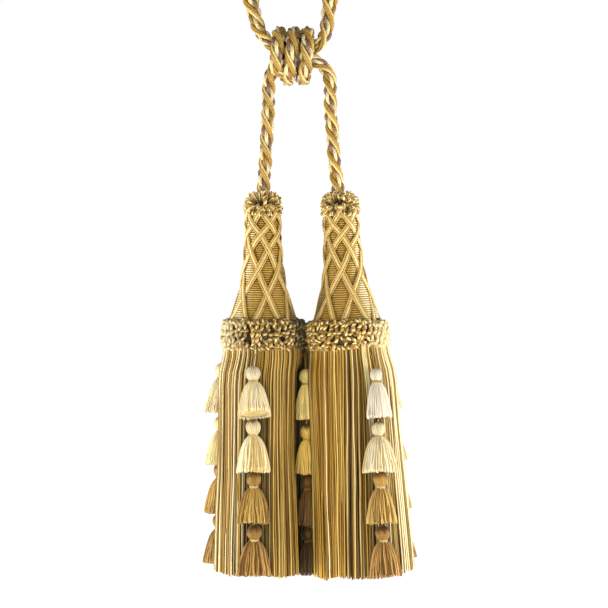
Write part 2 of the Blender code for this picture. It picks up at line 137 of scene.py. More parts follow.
RIGHT_LEG = (
    (21.2, 0.0, -293.8, LEG_R),
    (21.6, 0.0, -302.0, LEG_R),
    (21.6, 0.0, -313.0, LEG_R),
    (22.9, 0.0, -329.6, LEG_R),
    (24.0, 0.0, -346.4, LEG_R),
    (26.0, 0.0, -363.2, LEG_R),
    (27.7, 0.0, -377.2, LEG_R),
    (28.4, 0.0, -385.9, LEG_R),
)
LEG_LAY = 34.5  # length of one turn of the strands
LOOP_LAY = 38.0

# The wrap, wound along X round both passes. `grip` is how far out its centre
# line lies, over the barrel's own half sizes. Its first end is tucked under
# the second turn.
WRAP_R = 4.55
WRAP_HIGH = 16.2
WRAP_DEEP = 15.4
WRAP_Z = -276.5
WRAP_COLUMNS = ("turn", "x", "grip", "radius")
WRAP_TURNS = (
    (0.04, -10.2, 0.80, 2.6),
    (0.10, -13.6, 0.93, 3.8),
    (0.17, -16.2, 1.0, WRAP_R),
    (0.50, -14.0, 1.0, WRAP_R),
    (0.75, -11.7, 1.0, WRAP_R),
    (1.00, -8.0, 1.0, WRAP_R),
    (1.25, -5.8, 1.0, WRAP_R),
    (1.50, -4.0, 1.0, WRAP_R),
    (1.75, -1.4, 1.0, WRAP_R),
    (2.00, 2.6, 1.0, WRAP_R),
    (2.25, 4.8, 1.0, WRAP_R),
    (2.50, 5.4, 1.0, WRAP_R),
    (2.72, 7.8, 1.0, WRAP_R),
    (2.79, 8.6, 0.74, 3.6),
    (2.84, 8.8, 0.50, 2.6),
)

WRAP_SWELL = 1.09  # the strands press out a little where they are bent
WRAP_LAY = ((0.0, 34.5), (0.25, 34.5), (0.26, 31.6), (1.25, 31.6), (1.26, 33.7), (3.0, 33.7))

# The strands of the rope for a radius of 4.7: two fat gold strands, each of
# five cords side by side, and two of fat plies in the furrows between them.
GOLD_OUT, GOLD_PLY_OUT, GOLD_PLY_R = 2.75, 1.32, 0.82
FILL_OUT, FILL_PLY_OUT, FILL_PLY_R = 2.58, 1.06, 1.26
FILL_PITCH = 14.0
FILL_TURN = (0.0, 237.0)  # where each furrow's plies start
ROPE_TURN = 5.0  # where the gold strands start round the rope
WRAP_TURN = 115.0

# ------------------------------------------------------------- tassels ----
TASSEL_COLUMNS = ("name", "x", "z", "tilt", "net_turn", "seed")
TASSELS = (
    ("left", -25.6, -387.0, 0.0, 18.0, 3),
    ("right", 28.5, -387.0, 3.4, 24.0, 8),
)
# The winding swells out to the net's inner side
WOUND = (
    (0.0, 8.8),
    (2.5, 10.2),
    (8.0, 11.4),
    (15.0, 11.5),
    (25.4, 12.1),
    (39.8, 13.6),
    (48.0, 15.2),
    (56.5, 17.2),
    (65.0, 20.1),
    (72.0, 22.2),
    (76.0, 23.2),
    (96.6, 23.2),
)
HEAD_THREAD = 1.55  # pitch of the winding
NET_STRANDS = 6
NET = (
    (-1.4, 12.4, 6.0),
    (7.4, 12.9, 6.0),
    (15.2, 13.0, 5.0),
    (25.4, 13.6, 0.0),
    (39.8, 15.0, -2.0),
    (56.5, 18.3, -7.0),
    (72.0, 23.3, -9.0),
)
NET_FOOT_SPREAD = 19.0
NET_WALL = 1.8
SKIRT = {
    "left": (
        (97.0, 28.0, 0.0, 0),
        (100.5, 28.9, 0.0, 0),
        (113.0, 30.6, -1.8, 1),
        (250.0, 32.1, -2.5, 1),
    ),
    "right": (
        (97.0, 28.0, 0.2, 0),
        (100.5, 28.9, 0.2, 0),
        (113.0, 30.5, 0.6, 1),
        (250.0, 33.6, 1.2, 1),
    ),
}
PRESSED = {"left": (97.0, 24.2), "right": (-114.0, 23.0)}

MINI_LENGTH = 33.0
TIERS = (
    (106.2, 34.0, 11.3, "ivory"),
    (144.2, 32.8, 11.8, "cream"),
    (177.6, 33.8, 11.6, "gold"),
    (213.8, 33.2, 11.8, "tan"),
)
COLUMN_COLUMNS = (
    "tassel", "name", "azimuth", "drift", "fall", "end_fall", "stand", "lean",
    "deep", "wide",
)
COLUMNS = (
    ("left", "front", -7.0, 3.0, 0.0, 0.0, 5.6, 8.0, 0.72, 1.0),
    ("left", "outer", -130.0, 1.0, 0.0, 0.0, 5.6, 6.0, 0.72, 1.0),
    ("left", "inner", 104.0, -3.0, 3.5, 7.5, None, 0.0, 0.74, 0.95),
    ("right", "front", 27.0, -6.0, 1.0, 1.8, 5.6, 6.0, 0.72, 1.0),
    ("right", "outer", 139.0, -4.0, 0.0, 0.0, 5.6, 6.0, 0.72, 1.0),
    ("right", "rear", -139.0, 0.0, 0.0, 0.0, 5.6, 6.0, 0.72, 0.92),
)
INNER_REACH = (30.9, 32.4)
ODD = (
    ("left", "front", 0, -4.0, 1.0),
    ("left", "front", 1, -1.0, 1.0),
    ("left", "outer", 0, -3.0, 1.0),
    ("left", "outer", 1, 2.0, 1.0),
    ("right", "front", 0, 2.0, 0.8),
    ("right", "front", 1, 4.0, 1.1),
    ("right", "front", 2, 4.0, 0.94),
    ("right", "front", 3, 1.5, 1.0),
    ("right", "outer", 0, 2.0, 0.95),
    ("right", "rear", 1, 2.5, 1.0),
)
CORD_TOP = 97.4
CORD_OUT = 29.4
NECK_END = 11.3
# Outline of a bell, as a share of its half width, at a length of 33
BELL = (
    (8.8, 0.25),
    (10.2, 0.36),
    (11.6, 0.49),
    (13.2, 0.59),
    (15.0, 0.67),
    (18.6, 0.77),
    (25.6, 0.90),
    (31.0, 0.99),
    (33.0, 0.99),
)


# ---------------------------------------------------------------- paths ---
def unit(vectors):
    return vectors / np.linalg.norm(vectors, axis=-1, keepdims=True)


def spline(rows, steps):
    """The centripetal Catmull-Rom curve through the rows. Every value in a row
    is carried along it."""
    knots = np.array(rows, float)
    knots = np.vstack((2 * knots[0] - knots[1], knots, 2 * knots[-1] - knots[-2]))
    share = np.arange(steps)[:, None] / steps
    path = []
    for a, b, c, d in zip(knots, knots[1:], knots[2:], knots[3:]):
        ab, bc, cd = (math.sqrt(np.linalg.norm(q - p)) for p, q in ((a, b), (b, c), (c, d)))
        leave = ((b - a) / ab - (c - a) / (ab + bc)) * bc + (c - b)
        reach = ((d - c) / cd - (d - b) / (bc + cd)) * bc + (c - b)
        path.append(
            b * (2 * share**3 - 3 * share**2 + 1)
            + leave * (share**3 - 2 * share**2 + share)
            + c * (3 * share**2 - 2 * share**3)
            + reach * (share**3 - share**2)
        )
    return np.vstack((*path, knots[-2:-1]))


def travelled(points):
    """Distance along the path at each point."""
    steps = np.linalg.norm(np.diff(points, axis=-2), axis=-1)
    return np.concatenate((np.zeros_like(steps[..., :1]), np.cumsum(steps, -1)), -1)


def respaced(path, step):
    """The path at even steps. Its first three columns are x, y and z."""
    run = travelled(path[:, :3])
    at = np.linspace(0, run[-1], max(2, int(round(run[-1] / step)) + 1))
    return np.column_stack([np.interp(at, run, column) for column in path.T])


def evened(paths, count):
    """Each path of the stack at this many points, evenly spaced."""
    made = []
    for path in paths:
        run = travelled(path)
        at = np.linspace(0, run[-1], count)
        made.append(np.column_stack([np.interp(at, run, c) for c in path.T]))
    return np.array(made)


def table_at(table, value, column):
    rows = np.array([[row[0], row[column]] for row in table], float)
    return np.interp(value, rows[:, 0], rows[:, 1])


def curve_at(table, value, steps=8):
    """As table_at, on a smooth curve through the table's first two columns."""
    fine = spline([row[:2] for row in table], steps)
    return np.interp(value, fine[:, 0], fine[:, 1])


def transport(points, start):
    """Along each path of the stack: its unit tangents, and two directions
    across it that follow it without turning about it."""
    along = unit(np.gradient(points, axis=-2))
    across = np.empty_like(points)
    side = np.broadcast_to(start, points[..., 0, :].shape).astype(float)
    for i in range(points.shape[-2]):
        forward = along[..., i, :]
        side = side - forward * np.sum(side * forward, -1, keepdims=True)
        side = unit(side)
        across[..., i, :] = side
    return along, across, np.cross(along, across)


def polar(azimuth, radius, height):
    turn = np.radians(azimuth)
    azimuth, radius, height = np.broadcast_arrays(azimuth, radius, height)
    return np.stack((radius * np.sin(turn), -radius * np.cos(turn), height), -1)


def turned(points, degrees, axis):
    """The points turned about the X, Y or Z axis."""
    c, s = math.cos(math.radians(degrees)), math.sin(math.radians(degrees))
    matrix = {
        "X": ((1, 0, 0), (0, c, -s), (0, s, c)),
        "Y": ((c, 0, s), (0, 1, 0), (-s, 0, c)),
        "Z": ((c, -s, 0), (s, c, 0), (0, 0, 1)),
    }[axis]
    return points @ np.array(matrix).T


# ---------------------------------------------------------------- yarns ---
class Yarns:
    """Gathers tubes and skins, and makes one mesh of them. Each point carries
    its colour, and its place on its yarn as (cosine and sine of the angle
    round it, millimetres along it)."""

    def __init__(self):
        self.points, self.tints, self.yarns = [], [], []
        self.corners, self.counts = [], []
        self.total = 0

    def grid(self, points, tint, along, angle, closed=True, caps=True, shift=0):
        """Skins a stack of grids (count, rows, around). `shift` is how many
        rows on a ring meets itself, for a winding."""
        count, rows, around, _ = points.shape
        shape = (count, rows, around)
        index = self.total + np.arange(count * rows * around).reshape(shape)
        if closed:
            beside = np.roll(index, -1, axis=2)
            if shift:
                beside[:, :-shift, -1] = index[:, shift:, 0]
            a, b = index[:, :-1], beside[:, :-1]
            c, d = beside[:, 1:], index[:, 1:]
            if shift:
                a, b, c, d = (q[:, :-shift] for q in (a, b, c, d))
        else:
            a, b = index[:, :-1, :-1], index[:, :-1, 1:]
            c, d = index[:, 1:, 1:], index[:, 1:, :-1]
        quads = np.stack((a, b, c, d), -1).reshape(-1)
        self.corners.append(quads)
        self.counts.append(np.full(len(quads) // 4, 4))
        if caps and closed:
            for ring in (index[:, 0, ::-1], index[:, -1]):
                self.corners.append(ring.reshape(-1))
                self.counts.append(np.full(count, around))
        self.points.append(points.reshape(-1, 3))
        tint = np.broadcast_to(tint, (*shape, 3))
        self.tints.append(tint.reshape(-1, 3))
        place = np.stack(
            np.broadcast_arrays(np.cos(angle), np.sin(angle), along), -1
        )
        self.yarns.append(np.broadcast_to(place, (*shape, 3)).reshape(-1, 3))
        self.total += count * rows * around

    def tubes(self, paths, radius, tint, sides=6, start=(0.9, 0.1, 0.42),
              flat=None, caps=True, offset=0.0):
        """Tubes along a stack of paths (count, rows, 3). radius and tint may
        differ by tube and by row. flat is (direction, wide, thick) for a tube
        that isn't round: its first axis lies along direction."""
        paths = np.asarray(paths, float)
        if paths.ndim == 2:
            paths = paths[None]
        count, rows, _ = paths.shape
        along, side, up = transport(paths, start)
        wide = thick = 1.0
        if flat is not None:
            direction, wide, thick = flat
            side = unit(
                direction - along * np.sum(direction * along, -1, keepdims=True)
            )
            up = np.cross(along, side)
        angle = np.arange(sides) * TAU / sides
        radius = np.broadcast_to(radius, (count, rows))[..., None, None]
        ring = (
            side[..., None, :] * (np.cos(angle) * wide)[:, None]
            + up[..., None, :] * (np.sin(angle) * thick)[:, None]
        )
        tint = np.asarray(tint, float)
        if tint.ndim == 2:  # one colour for each tube
            tint = tint[:, None]
        if tint.ndim == 3:
            tint = tint[:, :, None]
        run = travelled(paths)[..., None] + np.reshape(offset, (-1, 1, 1))
        self.grid(paths[..., None, :] + ring * radius, tint, run, angle, caps=caps)

    def piece(self, name, node, material, slot_name, tassel=None):
        """Makes the mesh, in the place of its CAD node."""
        points = np.vstack(self.points)
        if tassel:
            _, x, z, tilt, _, _ = tassel
            points = turned(points, -tilt, "Y") + (x, 0.0, z)
        mesh = bpy.data.meshes.new(name)
        mesh.vertices.add(len(points))
        mesh.vertices.foreach_set("co", (points * MM).astype(np.float32).ravel())
        corners = np.concatenate(self.corners).astype(np.int32)
        counts = np.concatenate(self.counts)
        mesh.loops.add(len(corners))
        mesh.loops.foreach_set("vertex_index", corners)
        mesh.polygons.add(len(counts))
        starts = np.concatenate(([0], np.cumsum(counts)[:-1])).astype(np.int32)
        mesh.polygons.foreach_set("loop_start", starts)
        mesh.update(calc_edges=True)
        mesh.validate()
        mesh.shade_smooth()
        tint = np.vstack(self.tints)
        tint = np.column_stack((tint, np.ones(len(tint)))).astype(np.float32)
        mesh.attributes.new("tint", "FLOAT_COLOR", "POINT").data.foreach_set(
            "color", tint.ravel()
        )
        mesh.attributes.new("yarn", "FLOAT_VECTOR", "POINT").data.foreach_set(
            "vector", np.vstack(self.yarns).astype(np.float32).ravel()
        )
        mesh.materials.append(material)
        piece = bpy.data.objects.new(name, mesh)
        bpy.context.scene.collection.objects.link(piece)
        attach(piece, "root")
        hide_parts(node)
        return piece


def plied(yarns, paths, out, ply, pitch, tints, sides=5, phase=0.0,
          start=(0.9, 0.1, 0.42)):
    """Plies turned round each other along each path. tints holds a colour for
    each ply, or an array of them for its paths, or for its paths and points."""
    paths = np.asarray(paths, float)
    if paths.ndim == 2:
        paths = paths[None]
    _, side, up = transport(paths, start)
    turn = travelled(paths) * TAU / pitch + np.reshape(phase, (-1, 1))
    for k, tint in enumerate(tints):
        swing = (turn + k * TAU / len(tints))[..., None]
        line = paths + out * (np.cos(swing) * side + np.sin(swing) * up)
        yarns.tubes(line, ply, tint, sides)


# ------------------------------------------------------------ materials ---
def yarn_material(name, plies, pitch, groove_shade, fibre, rough, relief,
                  sheen=0.12, uneven=0.16, shine=0.5):
    """Spun yarn. Its plies wind round it once every `pitch` millimetres, lower
    where they meet and darker there with painted shade, with fine fibres along
    them and a slow change of tone from place to place."""
    material = bpy.data.materials.new(name)
    material.use_nodes = True
    nodes, links = material.node_tree.nodes, material.node_tree.links
    shader = nodes["Principled BSDF"]

    def node(kind, **values):
        made = nodes.new(kind)
        for key, value in values.items():
            setattr(made, key, value)
        return made

    def maths(operation, a, b=None, c=None):
        made = node("ShaderNodeMath", operation=operation)
        for socket, value in zip(made.inputs, (a, b, c)):
            if value is None:
                continue
            if isinstance(value, (int, float)):
                socket.default_value = value
            else:
                links.new(value, socket)
        return made.outputs[0]

    def mapped(value, low, high, to_low, to_high):
        made = node("ShaderNodeMapRange")
        links.new(value, made.inputs["Value"])
        for key, number in (
            ("From Min", low), ("From Max", high),
            ("To Min", to_low), ("To Max", to_high),
        ):
            made.inputs[key].default_value = number
        return made.outputs["Result"]

    tint = node("ShaderNodeAttribute", attribute_name="tint")
    yarn = node("ShaderNodeAttribute", attribute_name="yarn")
    parts = node("ShaderNodeSeparateXYZ")
    links.new(yarn.outputs["Vector"], parts.inputs[0])
    angle = maths("ARCTAN2", parts.outputs["Y"], parts.outputs["X"])
    wound = maths("MULTIPLY", parts.outputs["Z"], TAU / pitch)
    phase = maths("MULTIPLY", maths("ADD", angle, wound), float(plies))
    ply = mapped(maths("COSINE", phase), -1.0, 1.0, 0.0, 1.0)

    # fibres: noise in the yarn's own coordinates, stretched along it
    stretch = node("ShaderNodeVectorMath", operation="MULTIPLY")
    links.new(yarn.outputs["Vector"], stretch.inputs[0])
    stretch.inputs[1].default_value = (2.2, 2.2, 0.9)
    hairs = node("ShaderNodeTexNoise")
    hairs.inputs["Scale"].default_value = 1.6
    hairs.inputs["Detail"].default_value = 3.0
    hairs.inputs["Roughness"].default_value = 0.6
    links.new(stretch.outputs[0], hairs.inputs["Vector"])
    hair = hairs.outputs["Fac"]

    place = node("ShaderNodeTexCoord")
    patches = node("ShaderNodeTexNoise")
    patches.inputs["Scale"].default_value = 70.0
    patches.inputs["Detail"].default_value = 2.0
    links.new(place.outputs["Object"], patches.inputs["Vector"])
    patch = patches.outputs["Fac"]

    # painted shade in the hollows where the plies meet
    dark = mapped(ply, 0.0, 0.75, 1.0 - groove_shade, 1.0)
    streak = mapped(hair, 0.3, 0.7, 1.0 - uneven, 1.0 + uneven)
    slow = mapped(patch, 0.3, 0.7, 0.93, 1.07)
    shade = maths("MULTIPLY", maths("MULTIPLY", dark, streak), slow)
    colour = node("ShaderNodeVectorMath", operation="SCALE")
    links.new(tint.outputs["Color"], colour.inputs[0])
    links.new(shade, colour.inputs["Scale"])
    links.new(colour.outputs[0], shader.inputs["Base Color"])

    links.new(
        mapped(hair, 0.3, 0.7, rough - 0.09, rough + 0.09), shader.inputs["Roughness"]
    )
    height = maths("MULTIPLY_ADD", hair, fibre, maths("MULTIPLY", ply, 1.0))
    bump = node("ShaderNodeBump")
    bump.inputs["Strength"].default_value = 0.8
    bump.inputs["Distance"].default_value = relief * MM
    links.new(height, bump.inputs["Height"])
    links.new(bump.outputs["Normal"], shader.inputs["Normal"])

    shader.inputs["Specular IOR Level"].default_value = shine
    shader.inputs["Specular Tint"].default_value = (1.0, 0.84, 0.52, 1.0)
    shader.inputs["Sheen Weight"].default_value = sheen
    shader.inputs["Sheen Roughness"].default_value = 0.4
    shader.inputs["Sheen Tint"].default_value = (1.0, 0.9, 0.68, 1.0)
    return material


LOOK = {
    "rope": yarn_material("satin_rope_strand", 3, 5.0, 0.20, 0.9, 0.38, 0.10),
    "ruff": yarn_material("looped_ruff_cord", 2, 1.8, 0.22, 0.8, 0.42, 0.07, sheen=0.08),
    "head": yarn_material("wound_head_thread", 2, 1.6, 0.16, 0.8, 0.42, 0.05, sheen=0.12,
                          shine=0.4),
    "net": yarn_material("braided_net_gimp", 2, 1.5, 0.18, 0.8, 0.40, 0.06, sheen=0.4),
    "skirt": yarn_material("skirt_string", 2, 2.6, 0.38, 0.7, 0.34, 0.10, sheen=0.0,
                           shine=0.32),
    "hanger": yarn_material("hanging_cord", 2, 1.6, 0.2, 0.8, 0.5, 0.04),
    "ivory": yarn_material("ivory_tassel_yarn", 2, 2.2, 0.14, 1.0, 0.55, 0.06),
    "cream": yarn_material("cream_tassel_yarn", 2, 2.2, 0.16, 1.0, 0.55, 0.06),
    "gold": yarn_material("gold_tassel_yarn", 2, 2.2, 0.18, 1.0, 0.60, 0.06, shine=0.35),
    "tan": yarn_material("tan_tassel_yarn", 2, 2.2, 0.18, 1.0, 0.60, 0.06, shine=0.35),
}


# --------------------------------------------------------------- camera ---
def make_camera():
    data = bpy.data.cameras.new("camera")
    data.sensor_width = 36.0
    data.lens = 101.5
    data.clip_start, data.clip_end = 0.05, 40.0
    camera = bpy.data.objects.new("camera", data)
    camera.location = (0.003, -1.2, -0.450)
    camera.rotation_euler = (math.radians(90), 0, 0)
    bpy.context.scene.collection.objects.link(camera)
    bpy.context.scene.camera = camera


# ----------------------------------------------------------------- rope ---
def loop_top():
    turn = np.radians((0.0, 45.0, 90.0, 135.0, 180.0))
    return tuple(
        (LOOP_TOP_R * math.cos(t), 0.0, LOOP_TOP_R * math.sin(t) - LOOP_TOP_R + LOOP_R, LOOP_R)
        for t in turn
    )


def rope_path():
    rows = (
        LEFT_LEG + REAR_PASS + LOOP_RIGHT + loop_top() + LOOP_LEFT
        + FRONT_PASS + RIGHT_LEG
    )
    line = spline(rows, 14)
    slack = np.clip((line[:, 3] - LEG_R) / (LOOP_R - LEG_R), 0, 1)
    return np.column_stack((line, LEG_LAY + (LOOP_LAY - LEG_LAY) * slack))


def wrap_path():
    line = spline(WRAP_TURNS, 40)
    turn = line[:, 0] * TAU
    return np.column_stack(
        (
            line[:, 1],
            -WRAP_DEEP * line[:, 2] * np.sin(turn),
            WRAP_Z - WRAP_HIGH * line[:, 2] * np.cos(turn),
            line[:, 3] * WRAP_SWELL,
            table_at(WRAP_LAY, line[:, 0], 1),
        )
    )


def lay_rope(path, start, first_turn, seed):
    """Lays the strands along the path: two gold strands opposite each other,
    and a two-ply strand in each furrow between them."""
    rng = np.random.default_rng(seed)
    yarns = Yarns()

    def frames(step):
        line = respaced(path, step)
        points, size = line[:, :3], line[:, 3:4] / LEG_R
        _, side, up = transport(points, start)
        run = travelled(points)
        steps = np.diff(run, prepend=0.0) * TAU / line[:, 4]
        turn = math.radians(first_turn) - np.cumsum(steps)
        return points, size, side, up, run, turn

    points, size, side, up, run, turn = frames(2.4)

    def round_at(angle):
        angle = np.broadcast_to(angle, run.shape)[:, None]
        return np.cos(angle) * side + np.sin(angle) * up

    for strand in (0, 1):
        centre = points + GOLD_OUT * size * round_at(turn + strand * math.pi)
        for cord in range(5):
            swing = turn + strand * math.pi + cord * TAU / 5
            line = centre + GOLD_PLY_OUT * size * round_at(swing)
            # one cord is pale: partly its own colour, partly a painted highlight along the strand
            tone = (GOLD, (STRAW + CREAM) * 0.5, OCHRE, OCHRE, (GOLD + OCHRE) * 0.5)[cord]
            tone = tone * rng.uniform(0.74, 0.84)
            drift = 1 + 0.06 * np.sin(run / 23.0 + rng.uniform(0, TAU))
            yarns.tubes(
                line, GOLD_PLY_R * size[:, 0], tone * drift[None, :, None], 8,
                offset=rng.uniform(0, 30),
            )

    points, size, side, up, run, turn = frames(1.9)
    plies = ((CREAM * 0.74, PLUM * 0.86), (CREAM * 0.70, (OCHRE + BROWN) * 0.42))
    for strand, colours in enumerate(plies):
        angle = turn + (strand + 0.5) * math.pi
        centre = points + FILL_OUT * size * round_at(angle)
        for k, tone in enumerate(colours):
            swing = run * TAU / FILL_PITCH + k * math.pi + math.radians(FILL_TURN[strand])
            line = centre + FILL_PLY_OUT * size * round_at(swing)
            drift = 1 + 0.07 * np.sin(run / 9.0 + rng.uniform(0, TAU))
            yarns.tubes(
                line, FILL_PLY_R * size[:, 0], tone * drift[None, :, None], 7,
                offset=rng.uniform(0, 30),
            )
    return yarns


def make_ropes():
    path = rope_path()
    rope = lay_rope(path, (1.0, 0.0, 0.0), ROPE_TURN, 11).piece(
        "rope_strands", "rope", LOOK["rope"], "rope_gold"
    )
    wrap = lay_rope(wrap_path(), (1.0, 0.0, 0.0), WRAP_TURN, 12)
    # a dark sheet of painted shade inside the wrap, seen between its turns
    turn = np.arange(40) * TAU / 40
    rings = np.array(((-14.0, 0.5), (-12.8, 0.8), (-6.0, 0.9), (1.0, 0.9), (5.6, 0.8), (7.0, 0.5)))
    core = np.stack(
        np.broadcast_arrays(
            rings[:, :1] - 1.0 * np.sin(turn) - 2.0 * np.cos(turn),
            WRAP_DEEP * rings[:, 1:] * np.sin(turn),
            WRAP_Z + WRAP_HIGH * rings[:, 1:] * np.cos(turn),
        ), -1,
    )
    wrap.grid(core[None], SHADE, 0.0, 0.0, caps=True)
    wrap = wrap.piece("knot_wrap_strands", "knot_wrap", LOOK["rope"], "rope_gold")
    line = respaced(path, 8.0)[:, :3] * MM
    length = float(travelled(line)[-1])


# ---------------------------------------------------------------- heads ---
OUTER_SIDE = {"left": -88.0, "right": 84.0}  # the outer side of each tassel, painted palest as if in the side light


WARM = np.array((1.0, 1.12, 1.4))  # shade deepens the yarn's colour


def outer_share(tassel, azimuth):
    beside = np.abs((azimuth - OUTER_SIDE[tassel] + 180) % 360 - 180)
    return np.clip((64 - beside) / 42, 0, 1)


def wind_head(tassel):
    """One thread wound from the top of the head to its foot."""
    name, seed = tassel[0], tassel[5]
    rng = np.random.default_rng(seed)
    yarns = Yarns()
    around, steps = 66, 4
    turns = int(80.4 / HEAD_THREAD)
    row = np.arange(turns * steps + steps + 1)
    part = np.arange(around) / around
    drop = (row[:, None] + steps * part) * HEAD_THREAD / steps - 0.6
    wave = np.abs(np.sin(math.pi * (row % steps) / steps)) ** 0.7
    wobble = np.interp(drop, np.arange(-5, 90, 1.2), rng.normal(0, 0.06, 80))
    radius = curve_at(WOUND, drop) - 0.46 + 0.52 * wave[:, None] + wobble
    points = polar(part * 360.0, radius, -drop)
    # each turn of thread has its own tone
    tone = rng.uniform(0.9, 1.08, turns + 2)[np.minimum(row // steps, turns)]
    colour = (GOLD * 0.55 + OCHRE * 0.45) * (1.0, 1.03, 1.2) * tone[:, None, None]
    # painted side light: the thread is paler towards the outer side
    pale = 0.9 * outer_share(name, part * 360.0)[:, None]
    colour = colour + ((CREAM + IVORY) * 0.54 - colour) * pale
    # painted shade in the grooves between the turns of thread
    groove_shade = (1.14 * wave**1.8)[:, None] * np.ones(around)
    # painted shade beside the strands of the net
    near = np.full(groove_shade.shape, 9.0)
    for line, *_ in net_lines(tassel):
        away = np.linalg.norm(points[:, :, None] - line, axis=-1)
        near = np.minimum(near, away.min(axis=-1))
    groove_shade = groove_shade * (0.5 + 0.5 * np.clip((near - 2.6) / 1.3, 0, 1))
    run = (row[:, None] // steps + part) * 60.0
    angle = (row % steps)[:, None] / steps * math.pi * 1.2
    yarns.grid(
        points[None], (colour * groove_shade[..., None] ** WARM)[None], run[None], angle[None],
        caps=False, shift=steps,
    )
    # the drum under the base ruff, and the crown under the top one, as dark sheets of painted
    # shade
    drum = polar(part[None] * 360.0, np.array(((23.0,), (23.0,), (6.0,))),
                 np.array(((-79.0,), (-96.4,), (-96.4,))))
    yarns.grid(drum[None], SHADE, 0.0, 0.0, caps=True)
    crown = polar(part[None] * 360.0, np.array(((6.0,), (9.0,))),
                  np.array(((0.0,), (0.0,))))
    yarns.grid(crown[None], SHADE, 0.0, 0.0, caps=True)
    yarns.piece(f"head_{name}_winding", f"head_{name}", LOOK["head"],
                "head_winding", tassel)


# ------------------------------------------------------------------ net ---
NET_OVER = 0.55  # a strand rises and dips by this at a crossing


def net_lines(tassel):
    """For each strand of the net: its path, its azimuths, and the directions
    along it and across its width."""
    net_turn = tassel[4]
    foot = len(NET) - 1
    step = 180.0 / NET_STRANDS
    for way in (1, -1):
        for k in range(NET_STRANDS):
            rows = []
            first = net_turn + step * (2 * k - 1)
            above = NET[0]
            rows.append((first + above[2] - way * 26, 7.5, 6.2, 0.0))
            rows.append((first + above[2] - way * 14, 10.4, 3.9, 0.0))
            for r, (drop, radius, wound) in enumerate(NET[:foot]):
                over = 1 if (r % 2 == 1) == (way == 1) else -1
                rows.append(
                    (first + wound + way * step * r, radius - NET_WALL / 2, -drop,
                     over * NET_OVER)
                )
            drop, radius, wound = NET[foot]
            last = first + wound + way * (step * (foot - 1) + NET_FOOT_SPREAD)
            rows.append((last, radius - NET_WALL / 2, -drop, 0.0))
            rows.append((last + way * 6, radius + 1.6, -drop - 5.5, 0.0))
            # the rows' spacing suits the curve in mm, so azimuths are scaled
            scale = 0.25
            rows = [(a * scale, r, h, over * 4) for a, r, h, over in rows]
            line = respaced(spline(rows, 10)[:, (0, 1, 2, 3)], 1.6)
            azimuth, radius = line[:, 0] / scale, line[:, 1]
            path = polar(azimuth, radius + line[:, 3] / 4, line[:, 2])
            along = unit(np.gradient(path, axis=0))
            yield path, azimuth, along, unit(np.cross(along, polar(azimuth, 1.0, 0.0)))


def braid_net(tassel):
    """Six strands each way, each a flat cord between two piping cords. They
    pass over and under each other from row to row."""
    name, seed = tassel[0], tassel[5]
    rng = np.random.default_rng(seed + 40)
    yarns = Yarns()
    for path, azimuth, along, side in net_lines(tassel):
        tone = (GOLD_PALE * 0.75 + CREAM * 0.25) * rng.uniform(0.93, 1.03)
        flat = (side, 1.12, 0.72)
        # painted shade down its two edges, where it meets the piping
        edge_shade = np.array((0.30, 1.0, 1.04, 1.0, 0.30, 0.8, 0.8, 0.8))
        # painted side light: paler towards the outer side
        pale = 0.8 * outer_share(name, azimuth)[:, None]
        tone = tone + (CREAM * 1.25 - tone) * pale
        tone = (tone[:, None] * edge_shade[:, None])[None]
        yarns.tubes(path, 1.0, tone, 8, flat=flat, offset=rng.uniform(0, 20))
        out = np.cross(side, along)
        for edge in (-1, 1):
            beside = path + side * 1.66 * edge + out * 0.10
            yarns.tubes(
                beside, 0.45, GOLD * rng.uniform(1.02, 1.16), 6,
                offset=rng.uniform(0, 20),
            )
    yarns.piece(f"net_{name}_gimp", f"net_{name}", LOOK["net"], "net_gimp", tassel)


# ---------------------------------------------------------------- ruffs ---
def loops(yarns, roots, outward, length, sideways, half, colours, rng, curl):
    """Loops of thin cord. Each goes out from its root, turns back `half` to
    either side, and ends beside its root. curl bends the tip over, along the
    third direction. Their feet lie in shade."""
    bend = np.radians(np.linspace(-90, 90, 6))
    legs = np.linspace(0.0, 1.0, 4)[:-1]
    spread = 0.6 + 0.4 * legs
    a = np.concatenate((legs, 1 + 0 * bend, legs[::-1]))
    b = np.concatenate((-spread, np.sin(bend), spread[::-1]))
    tip = np.concatenate((0 * legs, np.cos(bend), 0 * legs))
    straight = (length - half)[:, None]
    reach = a * straight + tip * half[:, None]
    over = np.cross(outward, sideways)
    bow = (reach / length[:, None]) ** 2 * np.reshape(curl, (-1, 1))
    paths = (
        roots[:, None]
        + outward[:, None] * reach[..., None]
        + sideways[:, None] * (b * half[:, None])[..., None]
        + over[:, None] * bow[..., None]
    )
    paths = evened(paths, 17)
    out = np.linalg.norm(paths - roots[:, None], axis=-1) / length[:, None]
    lit = (0.10 + 1.02 * np.clip(out, 0, 1) ** 2.0)[..., None] ** WARM
    tints = [colour[:, None] * lit for colour in colours]
    plied(yarns, paths, 0.36, 0.42, 26.0, tints, 4, rng.uniform(0, TAU, len(roots)))


